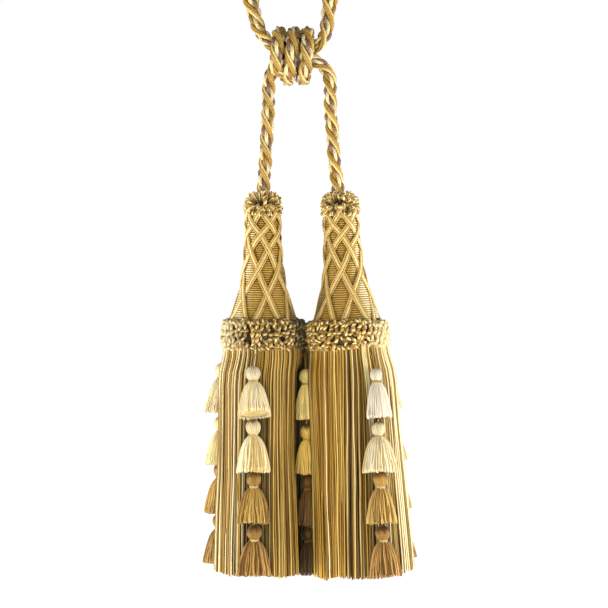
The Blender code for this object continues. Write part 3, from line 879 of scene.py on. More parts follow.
def knobs(yarns, azimuth, drop, inner, outer, half, roll, colours, rng,
          out=0.74, ply=0.76, pitch=3.8, points=13, foot=0.12):
    """Short bows of thick cord: each comes out of the ring, lies along it for
    twice `half`, and goes back in. roll turns it from upright."""
    phi = np.radians(np.linspace(-90, 90, 9))
    reach = np.cos(phi) ** 0.6
    round_ = polar(azimuth + 90, 1.0, 0.0)
    face = polar(azimuth, 1.0, 0.0)
    roll = np.radians(roll)[:, None]
    axis = np.array((0.0, 0.0, -1.0)) * np.cos(roll) + round_ * np.sin(roll)
    rise = np.reshape(outer - inner, (-1, 1)) * reach
    paths = (
        polar(azimuth, inner, -drop)[:, None]
        + face[:, None] * rise[..., None]
        + axis[:, None] * (np.reshape(half, (-1, 1)) * np.sin(phi))[..., None]
    )
    paths = evened(paths, points)
    # painted shade: each bow darker towards its foot
    height = np.sum((paths - paths[:, :1]) * face[:, None], -1)
    lit = height / np.reshape(outer - inner, (-1, 1))
    lit = (foot + (1 - foot) * np.clip(lit, 0, 1) ** 1.8)[..., None] ** WARM
    tints = [colour[:, None] * lit for colour in colours]
    plied(
        yarns, paths, out, ply, pitch, tints, 4,
        rng.uniform(0, TAU, len(azimuth)), start=(0.3, 0.5, 0.8),
    )


def ruff_colours(count, rng):
    tone = rng.uniform(0.80, 1.08, (count, 1))
    pale = (CREAM * 1.25 + (GOLD_PALE - CREAM) * rng.uniform(0, 0.8, (count, 1))) * tone
    mid = (GOLD + (OCHRE - GOLD) * rng.uniform(0, 1.0, (count, 1))) * tone
    deep = (OCHRE + (BROWN - OCHRE) * rng.uniform(0, 1.2, (count, 1))) * tone
    return pale, mid, deep


# Where the ruff opens on the dark ring behind it: azimuth, half width, highest
# and lowest drop; bows that are longer: azimuth, drop, half length, roll; and
# where the other tassel stands: azimuth, half width of its shade, and its ramp
BASE_OPENINGS = {
    "left": ((-19.0, 2.2, 78, 92), (-10.5, 4.0, 84, 89)),
    "right": ((-8.0, 5.4, 87.5, 91),),
}
BASE_BOWS = {
    "left": ((-12.4, 84.6, 6.0, 2.0), (-6.8, 86.0, 4.6, -4.0)),
    "right": ((14.0, 86.2, 4.2, 8.0),),
}
RUFF_TONE = {"left": 0.88, "right": 1.2}
RUFF_SIDE_LIGHT = {"left": 0.82, "right": 0.75}  # how much painted side light pales the outer side
RUFF_LIGHT = CREAM * 0.6 + IVORY * 0.4
FACING = {"left": (86.0, 26.0, 18.0), "right": (-96.0, 8.0, 10.0)}


def loop_base_ruff(tassel):
    """Rows of short bows of cord round the foot of the head, upright at its
    top and every way below."""
    name, seed = tassel[0], tassel[5]
    rng = np.random.default_rng(seed + 80)
    yarns = Yarns()
    rows = (
        # drop, how many, roll, its spread, radii, half length
        (75.0, 38, 80.0, 12.0, 22.4, 24.6, 2.3),
        (75.8, 44, 72.0, 20.0, 24.4, 26.8, 2.1),
        (78.8, 44, 0.0, 16.0, 24.6, 28.2, 2.9),
        (83.4, 42, -30.0, 34.0, 24.6, 28.7, 2.6),
        (87.2, 42, 28.0, 38.0, 24.6, 28.8, 2.5),
        (90.6, 42, -20.0, 40.0, 24.6, 28.3, 2.4),
        (93.6, 44, -74.0, 22.0, 24.6, 27.0, 2.3),
    )
    for row, (drop, count, roll, spread, inner, outer, half) in enumerate(rows):
        azimuth = (np.arange(count) + 0.5 * (row % 2)) * 360 / count
        azimuth = azimuth + rng.normal(0, 1.3, count)
        drops = drop + rng.normal(0, 0.5, count)
        away = np.ones(count, bool)
        for place, width, high, low in BASE_OPENINGS[name]:
            beside = (azimuth - place + 180) % 360 - 180
            away &= (np.abs(beside) > width) | (drops < high) | (drops > low)
        azimuth, drops, count = azimuth[away], drops[away], int(away.sum())
        # painted shade: the cord is darker where the two tassels face each other
        place, half_width, ramp = FACING[name]
        inward = np.abs((azimuth - place + 180) % 360 - 180)
        dim = RUFF_TONE[name] * (0.2 + 0.68 * np.clip((inward - half_width) / ramp, 0, 1))[:, None]
        outer = outer + 1.5 * np.exp(-((inward / 24) ** 2))
        # painted side light on the outer side
        pale = RUFF_SIDE_LIGHT[name] * outer_share(name, azimuth)[:, None]
        if name == "right":
            drops = drops + 1.8 * outer_share(name, azimuth) * (row < 3)
        # the top two rows' feet are painted lighter, as painted light from above
        knobs(
            yarns, azimuth, drops, inner,
            outer + rng.normal(0, 0.4, count), half + rng.normal(0, 0.3, count),
            roll + rng.normal(0, spread, count),
            [
                (colour + (RUFF_LIGHT - colour) * pale) * dim
                for colour in ruff_colours(count, rng)
            ],
            rng, foot=0.5 if row < 2 else 0.12,
        )
    for azimuth, drop, half, roll in BASE_BOWS[name]:
        knobs(
            yarns, np.array((azimuth,)), np.array((drop,)), 24.6, 29.0, half,
            np.array((roll,)), ruff_colours(1, rng), rng, points=30,
        )
    # a dark ring of painted shade behind the bows, seen between them
    part = np.arange(64) / 64
    ring = np.array(((23.6, 74.4), (24.4, 76.0), (24.6, 85.0), (24.4, 94.0), (23.2, 95.6)))
    back = polar(part[None] * 360, ring[:, :1], -ring[:, 1:])
    yarns.grid(back[None], SHADE, 0.0, 0.0, caps=False)
    yarns.piece(f"base_ruff_{name}_loops", f"base_ruff_{name}", LOOK["ruff"],
                "ruff_loops", tassel)


# Where a rosette opens: azimuth, half width, lowest and highest elevation; and
# the bows of thick cord that stand in front: azimuth, height, half length, roll
OPENINGS = {
    "left": ((-15.0, 8.0, -43, 40), (34.0, 15.0, -44, 22)),
    "right": ((-14.0, 8.0, -30, 60), (10.0, 7.0, -42, -20)),
}
FRONT_BOWS = {
    "left": ((8.0, 8.0, 4.6, 4.0), (12.0, 2.4, 2.6, 80.0)),
    "right": ((8.0, 10.6, 2.8, 60.0), (2.0, 4.6, 3.0, -62.0)),
}


def loop_top_ruff(tassel):
    """A rosette: long loops that radiate from the foot of the rope, out, up and
    down."""
    name, seed = tassel[0], tassel[5]
    rng = np.random.default_rng(seed + 120)
    yarns = Yarns()
    rows = (
        # elevation of the loops, how many, reach of their tips, and the
        # radius and height of their roots
        (-48.0, 32, 9.0, 8.8, 4.6),
        (-56.0, 20, 10.6, 5.2, 6.0),
        (-34.0, 25, 9.7, 5.2, 6.0),
        (-12.0, 25, 9.0, 5.2, 6.0),
        (10.0, 25, 8.9, 5.2, 6.0),
        (32.0, 23, 9.1, 5.2, 6.0),
        (54.0, 19, 9.4, 5.2, 6.0),
        (74.0, 11, 9.4, 5.2, 6.0),
    )
    for row, (lift, count, reach, ring, level) in enumerate(rows):
        azimuth = (np.arange(count) + 0.5 * (row % 2)) * 360 / count
        azimuth = azimuth + rng.normal(0, 3.0, count) + seed * 7
        lifts = lift + rng.normal(0, 5 if row else 2, count)
        away = np.ones(count, bool)
        for place, width, low, high in OPENINGS[name]:
            beside = (azimuth - place + 180) % 360 - 180
            away &= (np.abs(beside) > width) | (lifts < low) | (lifts > high)
        azimuth, lifts, count = azimuth[away], lifts[away], int(away.sum())
        rise = np.radians(lifts)[:, None]
        out, up = polar(azimuth, 1.0, 0.0), np.array((0.0, 0.0, 1.0))
        outward = out * np.cos(rise) + up * np.sin(rise)
        # the cord hangs down its front and back, and parts the loops there
        parted = np.hypot(outward[:, 0], outward[:, 2]) > 0.42
        outward, out, rise = outward[parted], out[parted], rise[parted]
        azimuth, count = azimuth[parted], int(parted.sum())
        if row:
            outward = unit(outward * (1.0, 0.5, 1.0))
        spin = np.radians(rng.normal(90, 35, count))[:, None]
        round_ = polar(azimuth + 90, 1.0, 0.0)
        over = np.cross(outward, round_)
        sideways = round_ * np.cos(spin) + over * np.sin(spin)
        length = reach - 0.8 + rng.normal(0, 0.4, count)
        if row == 0:
            length = length - 3.0 * np.abs(np.sin(np.radians(azimuth)))
        roots = polar(azimuth, ring, level + 0.8 * np.sin(rise[:, 0]))
        # painted side light: the loops are paler towards the outer side
        loops(
            yarns, roots, outward, length, sideways, rng.uniform(0.72, 0.95, count),
            [
                colour + (CREAM - colour) * 0.3 * outer_share(name, azimuth)[:, None]
                for colour in ruff_colours(count, rng)[:2]
            ],
            rng, rng.normal(0, 0.8, count),
        )
    for azimuth, height, half, roll in FRONT_BOWS[name]:
        knobs(
            yarns, np.array((azimuth,)), np.array((-height,)), 5.0, 12.4, half,
            np.array((roll,)), ruff_colours(1, rng), rng,
            out=0.74, ply=0.74, pitch=3.8, points=34,
        )
    # a dark core of painted shade among the roots of the loops
    part = np.arange(24) / 24
    turn = np.radians(np.arange(0, 361, 45))
    ring = np.column_stack((5.4 + 2.0 * np.cos(turn), 6.0 + 4.4 * np.sin(turn)))
    core = polar(part[None] * 360, ring[:, :1], ring[:, 1:])
    yarns.grid(core[None], SHADE, 0.0, 0.0, caps=False)
    yarns.piece(f"top_ruff_{name}_loops", f"top_ruff_{name}", LOOK["ruff"],
                "ruff_loops", tassel)


# --------------------------------------------------------------- skirts ---
def skirt_radius(tassel, azimuth, drop):
    """Outer radius of the skirt about its swayed centre."""
    radius = table_at(SKIRT[tassel], drop, 1)
    pressed = table_at(SKIRT[tassel], drop, 3)
    faces, distance = PRESSED[tassel]
    away = np.cos(np.radians(azimuth - faces))
    flat = np.minimum(radius, distance / np.maximum(away, 0.3))
    return np.where(away > 0.3, radius + (flat - radius) * pressed, radius)


SKIRT_LAYERS = (
    # strings, depth under the skirt's outside, shade
    (150, 0.65, 1.0),
    (140, 1.7, 0.6),
    (116, 3.0, 0.36),
    (84, 4.8, 0.22),
    (66, 6.6, 0.18),
    (62, 8.4, 0.14),
)
HEART_R = 1.3  # the strings of the two inner layers, which lie together
SKIRT_TONE = {"left": 0.94, "right": 1.06}
# How far the outer side stands out past the body, by drop
WIDER = {
    "left": ((100, -1.0), (115, -1.7), (175, -2.3), (250, -1.0)),
    "right": ((100, 0.3), (115, 1.0), (175, 1.0), (250, 2.4)),
}
# How far the left skirt's inner side stands out past the body, by drop
INNER_SIDE = 62.0
CLOSER = ((100, -0.8), (109, -2.2), (172, -2.2), (186, -1.4), (250, 1.1))
# Strings lie in shade behind the front column: its azimuth above and below,
# half width of the shade, how dark
BEHIND = {"left": (-5.0, -3.0, 15.0, 0.24), "right": (27.0, 21.0, 11.0, 0.4)}
# Where a skirt swells past its body: behind the small tassels between the two
# skirts, and over their near half.
SWELLS = {
    # its azimuths from the fullest, and its outer radius at a drop
    "left": (114.0, 158.0, (
        (91.0, 34.0), (95.0, 36.6), (100.0, 37.8), (108.0, 38.5), (118.0, 38.8),
        (180.0, 39.2), (215.0, 40.6), (250.0, 40.8),
    )),
    "right": (-81.0, -60.0, (
        (91.0, 27.2), (100.0, 28.0), (113.0, 29.8), (180.0, 32.0), (250.0, 34.5),
    )),
}
SWELL_LAYERS = {
    "left": ((32, 0.7, 0.6, None), (24, 2.2, 0.24, 1.0), (24, 4.2, 0.20, 1.2)),
    "right": ((14, 0.5, 1.0, None), (14, 1.7, 0.66, None)),
}
STRING_R = 0.56
# Light and dark strings alternate: colour, share of its kind
LIGHT_STRINGS = ((GOLD, 0.40), (STRAW, 0.30), (GOLD_PALE, 0.18), (CREAM, 0.12))
DARK_STRINGS = ((OCHRE, 0.42), (OLIVE, 0.26), (BROWN, 0.32))
# Drop at which the strings end, by azimuth
ENDS = {
    "left": (
        (-180, 249.0), (-65, 249.1), (-32, 249.6), (-6, 247.5), (26, 250.1), (61, 250.2),
        (100, 250.8), (120, 251.6), (150, 250.2), (180, 249.0),
    ),
    "right": (
        (-180, 250.0), (-81, 250.4), (-48, 252.2), (-25, 249.2), (0, 250.9), (30, 251.5),
        (60, 250.2), (120, 249.5), (180, 250.0),
    ),
}
STRING_DROPS = np.concatenate(
    ((91.0, 92.6, 95.0, 99.0, 104.0, 110.0), np.linspace(119, 246, 12))
)
# Pale strings that lie across the others: azimuth at the top and at the end
STRAYS = {"left": (), "right": ((19.0, 26.0), (21.0, 33.0), (17.5, 22.5))}


def run_strings(yarns, name, rng, waves, azimuth, depth, shade, tone, drift=None,
                swell=None, thick=None):
    """Strings from the ring under the ruff down to their cut ends."""
    count = len(azimuth)
    drops = STRING_DROPS
    turn = np.radians(azimuth)
    # strings draw together in bunches on their way down
    pull = (
        0.9 * np.sin(19 * turn + waves[0])
        + 0.6 * np.sin(31 * turn + waves[1])
        + 0.8 * np.sin(9 * turn + waves[2])
    )
    swing = rng.normal(0, 0.8, count)
    wander = rng.uniform(0, TAU, (2, count))
    slow = np.clip((drops - 100.0) / 150.0, 0, 1)[None]
    # the right tassel leans, and its strings still hang plumb
    plumb = -14.0 * np.cos(turn) * np.abs(np.cos(turn)) * (name == "right" and drift is None)
    az = (
        azimuth[:, None]
        + plumb[:, None] * slow
        + pull[:, None] * np.minimum(1.0, 2.2 * slow)
        + swing[:, None] * slow
        + 0.4 * np.sin(drops[None] / 17.0 + wander[0][:, None])
        + 0.2 * np.sin(drops[None] / 9.0 + wander[1][:, None])
    )
    if drift is not None:
        az = az + drift[:, None] * slow**1.3
    ends = table_at(ENDS[name], (azimuth + 180) % 360 - 180, 1)
    length = ends - drops[-1] + rng.normal(0, 0.4, count) - 0.3 * min(depth, 3.0)
    drop = drops[None] + length[:, None] * np.clip((drops - 200) / 46, 0, 1)
    inset = depth + rng.normal(0, 0.35, count)
    inset = inset[:, None] + 0.25 * np.sin(drops[None] / 21.0 + wander[1][:, None])
    bunch = 0.35 * np.sin(19 * turn + waves[0] + 1.2)[:, None] * slow
    # under the ruff the layers come from its ring, one behind the other
    top = np.clip((drop - 92.0) / 24.0, 0, 1)
    top = 1 - (1 - top) ** 2.4
    if swell is not None and name == "left":
        top = np.clip((drop - 90.4) / 2.4, 0, 1)
    radius = skirt_radius(name, az, drop)
    if swell is not None:
        full, low, table = swell
        share = np.clip((az - low) / (full - low) * 1.6, 0, 1)
        share = share * share * (3 - 2 * share)
        radius = radius + (table_at(table, drop, 1) - radius) * share
    outer = np.clip(np.cos(np.radians(az - OUTER_SIDE[name])), 0, 1) ** 2
    radius = radius - inset + bunch + table_at(WIDER[name], drop, 1) * outer
    if name == "left" and swell is None:
        inner = np.clip(np.cos(np.radians(az - INNER_SIDE)), 0, 1) ** 2
        radius = radius + table_at(CLOSER, drop, 1) * inner
    radius = radius * top + (27.4 - 0.35 * inset) * (1 - top)
    paths = polar(az, radius, -drop)
    paths[..., 0] += table_at(SKIRT[name], drop, 2)
    size = (thick or STRING_R) * rng.uniform(0.84, 1.12, count)
    # painted shade on the strings behind and beside the front column
    first, last, half_width, dark = BEHIND[name]
    beside = np.abs(az - first - (last - first) * slow)
    behind_shade = np.clip((half_width + 6 - beside) / 6, 0, 1) * np.clip((drop - 106) / 24, 0, 1)
    tint = (tone * shade)[:, None] * (1 - (1 - dark) * behind_shade)[..., None]
    yarns.tubes(
        paths, size[:, None], tint, 4, start=(1.0, 0.0, 0.0),
        offset=rng.uniform(0, 40, count),
    )


def hang_skirt(tassel):
    """Strings in layers, gathered a little into bunches, with cut ends."""
    name, seed = tassel[0], tassel[5]
    rng = np.random.default_rng(seed + 160)
    yarns = Yarns()
    waves = rng.uniform(0, TAU, 3)

    def some_tones(count):
        light, dark = (
            np.array([tone for tone, _ in kind])[
                rng.choice(len(kind), count, p=[share for _, share in kind])
            ]
            for kind in (LIGHT_STRINGS, DARK_STRINGS)
        )
        odd_one = (np.arange(count) % 2 == 1) ^ (rng.random(count) < 0.16)
        picked = np.where(odd_one[:, None], dark, light)
        return picked * rng.uniform(0.74, 1.1, (count, 1)) * SKIRT_TONE[name]

    # painted side light: the strings are paler on the outer side, the left skirt's dark ones there
    # a little darker; the right skirt's strings are also lighter towards its left
    def paled(tones, azimuth):
        beside = outer_share(name, azimuth)
        is_light = tones[:, 0] > 0.36
        if name == "left":
            tones = tones * np.where(is_light, 1.0, 1 - 0.25 * beside)[:, None]
        light = np.where(is_light, 0.95 if name == "right" else 0.9, 0.05)
        share = (light * beside)[:, None]
        tones = tones + ((CREAM + IVORY) * 0.55 - tones) * share
        if name == "right":
            tones = tones * (1 + 0.5 * np.clip(-azimuth / 45, 0, 1))[:, None]
        return tones

    for layer, (count, depth, shade) in enumerate(SKIRT_LAYERS):
        azimuth = (np.arange(count) + rng.uniform(-0.42, 0.42, count)) * 360 / count
        azimuth = (azimuth + 180) % 360 - 180
        run_strings(
            yarns, name, rng, waves + 1.9 * layer, azimuth, depth, shade,
            paled(some_tones(count), azimuth), thick=HEART_R if layer > 3 else None,
        )
    full, low, table = SWELLS[name]
    for count, depth, shade, thick in SWELL_LAYERS[name]:
        azimuth = np.linspace(full, low, count) + rng.uniform(-0.4, 0.4, count)
        # in full light again at the back
        shade = shade * np.interp(azimuth, (125, 152), (1.0, 1.7))[:, None]
        run_strings(
            yarns, name, rng, waves * 0, azimuth, depth, shade, some_tones(count),
            swell=SWELLS[name], thick=thick,
        )
    for first, last in STRAYS[name]:
        run_strings(
            yarns, name, rng, waves * 0, np.array((first,)), -0.6, 1.0,
            CREAM[None], drift=np.array((last - first,)),
        )
    yarns.piece(f"skirt_{name}_strings", f"skirt_{name}", LOOK["skirt"],
                "skirt_strings", tassel)


# -------------------------------------------------------- small tassels ---
def odd(tassel, name, tier):
    for row in ODD:
        if row[:3] == (tassel, name, tier):
            return row[3], row[4]
    return 0.0, 1.0


def mini_axis(column, tier):
    """Top and bottom points of one small tassel's axis, and its azimuth."""
    tassel, name, azimuth, drift, fall, end_fall, stand, lean, _, _ = column
    drop, length, _, _ = TIERS[tier]
    share = tier / (len(TIERS) - 1)
    drop += fall + (end_fall - fall) * share
    azimuth += drift * share
    swing, _ = odd(tassel, name, tier)
    if stand is None:
        radius = INNER_REACH[0] + (INNER_REACH[1] - INNER_REACH[0]) * share
    else:
        radius = float(skirt_radius(tassel, azimuth, drop + 6)) + stand
    top = polar(azimuth, radius, -drop)
    if stand is not None:
        top[0] += float(table_at(SKIRT[tassel], drop + 6, 2))
    bottom = top + stand_mini(np.array((0.0, 0.0, -length)), azimuth, swing, lean)
    return top, bottom, azimuth, swing, lean


def stand_mini(points, azimuth, swing, lean):
    return turned(turned(turned(points, -lean, "X"), swing, "Y"), azimuth, "Z")


MINI_TONES = {
    # strands, deeper strands, share of the deeper ones, tie
    "ivory": (IVORY * 0.8, linear(214, 192, 134), 0.34, linear(172, 138, 72)),
    "cream": (linear(222, 205, 156), linear(200, 164, 86), 0.36, linear(196, 164, 96)),
    "gold": (linear(184, 148, 76), linear(124, 86, 30), 0.42, linear(214, 188, 124)),
    "tan": (linear(168, 129, 70), linear(102, 68, 26), 0.42, linear(214, 188, 124)),
}


PAINTED_SIDE_LIGHT = {"left": (0.3, 0.4, 0.2, 0.2), "right": (0.4, 0.5, 0.6, 0.6)}
FRONT_TONE = {
    "left": ((0.82, 0.82, 0.9), (0.83, 0.87, 1.02), (0.74, 0.75, 0.68), (0.87, 0.87, 0.75)),
    "right": ((0.92, 0.98, 1.32), (0.92, 0.99, 1.26), (1.06, 1.1, 1.25), (1.06, 1.06, 1.04)),
}


# The column between the two tassels is painted lighter and yellower above, as painted light, and
# darker below, as painted shade
INNER_LIGHT_SHADE = ((1.26, 1.16, 0.7), (1.3, 1.1, 0.48), (0.42, 0.34, 0.27), (0.2, 0.165, 0.13))


def dress_mini(column, tier, tassel):
    """A ball of yarn drawn over a bead, tied under it, and a bell of cut
    strands."""
    name = column[1]
    _, length, half_width, colour = TIERS[tier]
    swing, extra = odd(column[0], name, tier)
    wide = half_width * column[9] * extra
    deep = half_width * column[8]
    long = length / MINI_LENGTH
    if (name, tier) == ("inner", 3):
        long *= 0.93
    small = {("right", "front", 0): 0.82, ("right", "front", 1): 0.9}.get(
        (column[0], name, tier), 1.0
    )
    lift = {("left", "front", 1): 1.8, ("right", "front", 1): 0.9}.get(
        (column[0], name, tier), 0.0
    )
    rng = np.random.default_rng(1000 + 50 * COLUMNS.index(column) + tier)
    main, dark, share, tie = MINI_TONES[colour]
    if name == "inner":
        # painted light above and painted shade below
        inner_light_shade = INNER_LIGHT_SHADE[tier]
        main, dark, tie = main * inner_light_shade, dark * inner_light_shade, tie * inner_light_shade
    if name == "outer":  # painted side light: paler on the far sides
        share_ = PAINTED_SIDE_LIGHT[column[0]][tier] * (1.0, 1.0, 0.35, 0.3)[tier]
        main, dark = (t + (CREAM * 1.1 - t) * share_ for t in (main, dark))
    if name == "front":
        main, dark = (t * FRONT_TONE[column[0]][tier] for t in (main, dark))
    yarns = Yarns()

    def shades(count, low=0.8, high=1.1):
        mixed = np.where(rng.random((count, 1)) < share, dark, main)
        return mixed * rng.uniform(low, high, (count, 1))

    # ball: fine ridges of yarn from its top to the neck
    around = 44
    long += lift / MINI_LENGTH
    down = np.array((-0.9, -0.4, 0.5, 1.9, 3.7, 5.4, 6.8, 7.8, 8.6, 9.5))
    down = 9.5 + (down - 9.5) * small
    bulge = np.array((1.3, 2.5, 3.65, 4.6, 4.9, 4.75, 4.2, 3.4, 2.8, 2.7))
    bulge = 2.7 + (bulge - 2.7) * (2 * small - 1)
    part = np.arange(around) * TAU / around
    ridge = 0.2 * np.where(np.arange(around) % 2, 1.0, -1.0)
    ridge = ridge + rng.normal(0, 0.10, around)
    fade = np.clip(bulge / 4.0, 0, 1)[:, None]
    radius = bulge[:, None] + ridge * fade
    twist = part + 0.05 * down[:, None]
    ball = np.stack(
        (radius * np.cos(twist), radius * np.sin(twist),
         np.broadcast_to(-down[:, None] * long, radius.shape)), -1
    )
    tone = (main * 0.75 + dark * 0.25) * rng.uniform(0.84, 0.96, (around, 1))
    # painted shade in the grooves between the ridges
    tone = tone * np.where(np.arange(around) % 2, 1.06, 0.5)[:, None]
    tone = tone * rng.uniform(0.8, 1.15, (around, 1))
    tone = tone * (
        (1.03, 1.0, 0.93), (1.03, 1.0, 0.9), (0.9, 0.81, 0.6), (0.92, 0.82, 0.62),
    )[tier]
    tone = np.broadcast_to(tone, (len(down), around, 3)).copy()
    # the cord's knot and shadow brown its top
    brown = 0.5 + rng.normal(0, 0.9, around) + (0.0, 0.2, 2.6, 2.9)[tier]
    share_ = np.clip((brown - down[:, None]) / 0.8 + 0.5, 0, 1)[..., None]
    tone = tone + (UMBER * 0.9 - tone) * share_ * (0.0, 0.9, 0.9, 1.0)[tier]
    yarns.grid(ball[None], tone[None], down[None, :, None], part * 3, caps=True)

    # the tie: two turns of plied thread
    turn = np.linspace(0, 2.0 * TAU, 46)
    hoop = 2.6 + 0.12 * np.sin(turn * 0.9)
    thread = np.column_stack(
        (hoop * np.cos(turn), hoop * np.sin(turn), (-8.7 - 0.8 * turn / TAU) * long)
    )
    plied(yarns, thread, 0.30, 0.42, 3.0, (tie, (tie + BROWN) * 0.4), 4)

    # the bell: two skins of strands, finer where they are tied
    shares = np.array([row[1] for row in BELL])
    levels = np.array([row[0] for row in BELL])
    raised = (column[0], name, tier) == ("left", "front", 0)
    for count, inset, shade in ((88, 0.45, 1.0), (60, 1.4, 0.88)):
        angle = (np.arange(count) + rng.uniform(-0.4, 0.4, count)) * TAU / count
        at = np.concatenate(((9.0, 10.4, 12.2, 14.6), np.linspace(17.6, 33, 6)))
        fall = np.clip((at - 12) / 21, 0, 1)
        width = np.interp(at, levels, shares)[None]
        wave = rng.uniform(0, TAU, count)[:, None]
        crimp = 0.028 * np.sin(at * 1.7 + wave * 3) * (0.3, 0.5, 1.0, 1.2)[tier]
        swing_ = rng.normal(0, 0.035, (count, 1)) * fall + 0.02 * np.sin(at / 3.2 + wave)
        swing_ = swing_ + crimp * np.clip((at - 11) / 4, 0, 1)
        clump = 0.03 * np.sin(11 * angle + wave[0, 0])[:, None] * fall
        round_ = angle[:, None] + swing_ + clump
        bow = 1 + rng.normal(0, 0.02, (count, 1)) * fall
        x = (width * wide * bow - inset) * np.cos(round_)
        y = (width * deep * bow - inset) * np.sin(round_)
        cut = rng.normal(0, 0.35, (count, 1)) + 0.3 * np.sin(3 * angle + wave[0, 0])[:, None]
        if raised:
            cut = cut - 2.4 * np.sqrt(np.clip(-np.sin(angle), 0, 1))[:, None]
        z = -(at[None] + cut * fall**3) * long
        size = 0.24 + 0.22 * np.clip((at - 9) / 12, 0, 1)
        size = size[None] * rng.uniform(0.85, 1.15, (count, 1))
        # painted light: the strands towards the front are painted lighter
        front_light = np.clip(-np.sin(angle), 0, 1)[:, None]
        tone = shades(count) if inset < 1 else (main + dark) / 2 * shade
        tone = tone * (0.95 + front_light * (0.26, 0.24, 0.2))
        tone = np.repeat(tone[:, None], len(at), axis=1)
        if raised:  # its cut ends show, and are warmer
            tone[:, -1] *= (1.06, 1.0, 0.82)
        yarns.tubes(
            np.stack((x, y, z), -1), size, tone, 3,
            offset=rng.uniform(0, 20, count),
        )
    # the strands inside, as one body, and the cut face under them
    core = np.array(
        ((9.2, 0.22), (12.2, 0.40), (15.0, 0.53), (18.6, 0.63), (25.6, 0.75),
         (31.9, 0.85), (32.1, 0.3))
    )
    around = 28
    part = np.arange(around) * TAU / around
    rough = 1 + 0.05 * np.where(np.arange(around) % 2, 1.0, -1.0)
    skin = np.stack(
        (core[:, 1:] * wide * np.cos(part) * rough, core[:, 1:] * deep * np.sin(part) * rough,
         np.broadcast_to(-core[:, :1] * long, (len(core), around))), -1
    )
    lit = np.array((0.9, 0.9, 0.9, 0.9, 0.9, 0.7, 0.6))[None, :, None, None]
    if raised:
        lit = lit * (1.0, 0.92, 0.66)
    yarns.grid(skin[None], dark * lit, core[None, :, :1], part, caps=True)

    top, _, azimuth, swing, lean = mini_axis(column, tier)
    if raised:  # its front hem is lifted a little
        lean += 9.0
    yarns.points = [
        stand_mini(p + (0.0, 0.0, lift), azimuth, swing, lean) + top
        for p in yarns.points
    ]
    label = f"mini_{column[0]}_{name}_{tier + 1}"
    return yarns.piece(f"{label}_yarn", label, LOOK[colour], f"mini_{colour}", tassel)


def hang_column(column, tassel):
    first = mini_axis(column, 0)[0]
    reach = first[:2] / np.linalg.norm(first[:2]) * CORD_OUT
    halfway = (reach + first[:2]) / 2
    path = [(*reach, -CORD_TOP), (*halfway, -CORD_TOP - 3.6)]
    for tier in range(len(TIERS)):
        top, bottom, *_ = mini_axis(column, tier)
        down = unit(bottom - top)
        path.append(tuple(top - down * 0.6))
        path.append(tuple(top + (bottom - top) * NECK_END / MINI_LENGTH))
    path = np.array(path)
    run = travelled(path)
    at = np.linspace(0, run[-1], int(run[-1] / 0.9))
    line = np.column_stack([np.interp(at, run, c) for c in path.T])
    yarns = Yarns()
    plied(yarns, line, 0.36, 0.37, 3.0, (GOLD * 0.8, BROWN), 4)
    label = f"hanger_{column[0]}_{column[1]}"
    cord = yarns.piece(f"{label}_cord", label, LOOK["hanger"], "hanger_cord", tassel)
    threaded = [dress_mini(column, tier, tassel) for tier in range(len(TIERS))]
    _, x, z, tilt, _, _ = tassel
    line = (turned(line, -tilt, "Y") + (x, 0.0, z)) * MM
    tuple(line[0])
    float(travelled(line)[-1])


# --------------------------------------------------------------- studio ---
def soft_box(name, place, size, power, target, colour=(1.0, 1.0, 1.0)):
    data = bpy.data.lights.new(name, "AREA")
    data.shape = "RECTANGLE"
    data.size, data.size_y = size
    data.energy = power
    data.color = colour
    light = bpy.data.objects.new(name, data)
    bpy.context.scene.collection.objects.link(light)
    light.location = place
    aim = unit(np.array(target, float) - np.array(place, float))
    yaw = math.atan2(aim[0], -aim[1])
    pitch = math.acos(float(np.clip(-aim[2], -1, 1)))
    light.rotation_euler = (pitch, 0.0, yaw + math.pi)


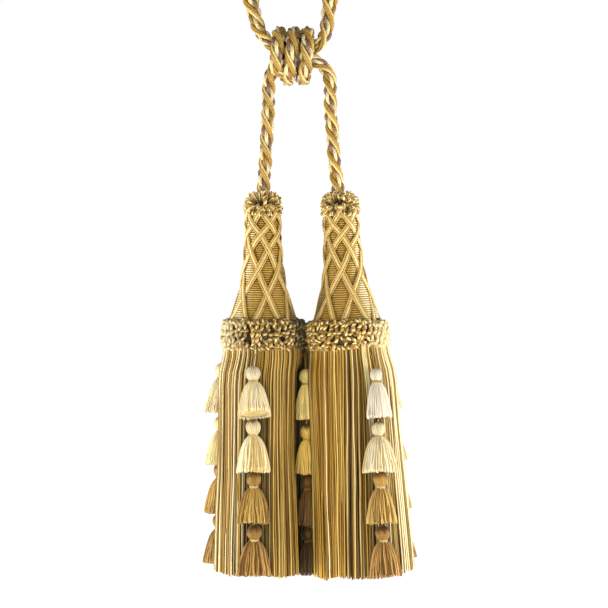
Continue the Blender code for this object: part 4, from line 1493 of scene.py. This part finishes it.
def make_studio():
    scene = bpy.context.scene
    scene.view_settings.view_transform = "Standard"
    scene.view_settings.look = "None"
    world = bpy.data.worlds.new("studio")
    scene.world = world
    world.use_nodes = True
    nodes, links = world.node_tree.nodes, world.node_tree.links
    background = nodes["Background"]
    background.inputs["Color"].default_value = (1.0, 1.0, 1.0, 1.0)
    path = nodes.new("ShaderNodeLightPath")
    level = nodes.new("ShaderNodeMapRange")
    level.inputs["To Min"].default_value = 0.2
    level.inputs["To Max"].default_value = 1.0
    links.new(path.outputs["Is Camera Ray"], level.inputs["Value"])
    links.new(level.outputs["Result"], background.inputs["Strength"])

    floor = bpy.data.meshes.new("floor")
    half, z = 9.0, -1.35
    floor.from_pydata(
        [(-half, -half, z), (half, -half, z), (half, half, z), (-half, half, z)],
        [], [(0, 1, 2, 3)],
    )
    material = bpy.data.materials.new("pale_floor")
    material.use_nodes = True
    shader = material.node_tree.nodes["Principled BSDF"]
    shader.inputs["Base Color"].default_value = (0.8, 0.8, 0.8, 1.0)
    shader.inputs["Roughness"].default_value = 0.8
    shader.inputs["Specular IOR Level"].default_value = 0.1
    shader.inputs["Emission Color"].default_value = (1.0, 1.0, 1.0, 1.0)
    seen = material.node_tree.nodes.new("ShaderNodeLightPath")
    glow = material.node_tree.nodes.new("ShaderNodeMapRange")
    glow.inputs["To Min"].default_value = 0.28
    glow.inputs["To Max"].default_value = 1.0
    material.node_tree.links.new(seen.outputs["Is Camera Ray"], glow.inputs["Value"])
    material.node_tree.links.new(glow.outputs["Result"], shader.inputs["Emission Strength"])
    floor.materials.append(material)
    ground = bpy.data.objects.new("floor", floor)
    scene.collection.objects.link(ground)
    ground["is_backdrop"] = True

    centre = (0.0, 0.0, -0.42)
    soft_box("left_box", (-1.2, -0.28, -0.80), (0.8, 0.9), 28.0, centre)
    soft_box("right_box", (1.2, -0.28, -0.72), (0.8, 1.1), 32.0, centre)
    soft_box("back_fill", (0.3, 2.2, -0.20), (1.2, 1.2), 34.0, centre)
    soft_box("front_fill", (-0.2, -2.1, -0.60), (1.1, 1.0), 43.0, centre)


def main():
    make_camera()
    make_ropes()
    for tassel in TASSELS:
        wind_head(tassel)
        braid_net(tassel)
        loop_base_ruff(tassel)
        loop_top_ruff(tassel)
        hang_skirt(tassel)
        for column in COLUMNS:
            if column[0] == tassel[0]:
                hang_column(column, tassel)
    make_studio()
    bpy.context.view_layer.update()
    faces = {o.name: len(o.data.polygons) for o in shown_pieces() if o.type == "MESH"}
    print("quads", sum(faces.values()), "most", max(faces.values()))


main()
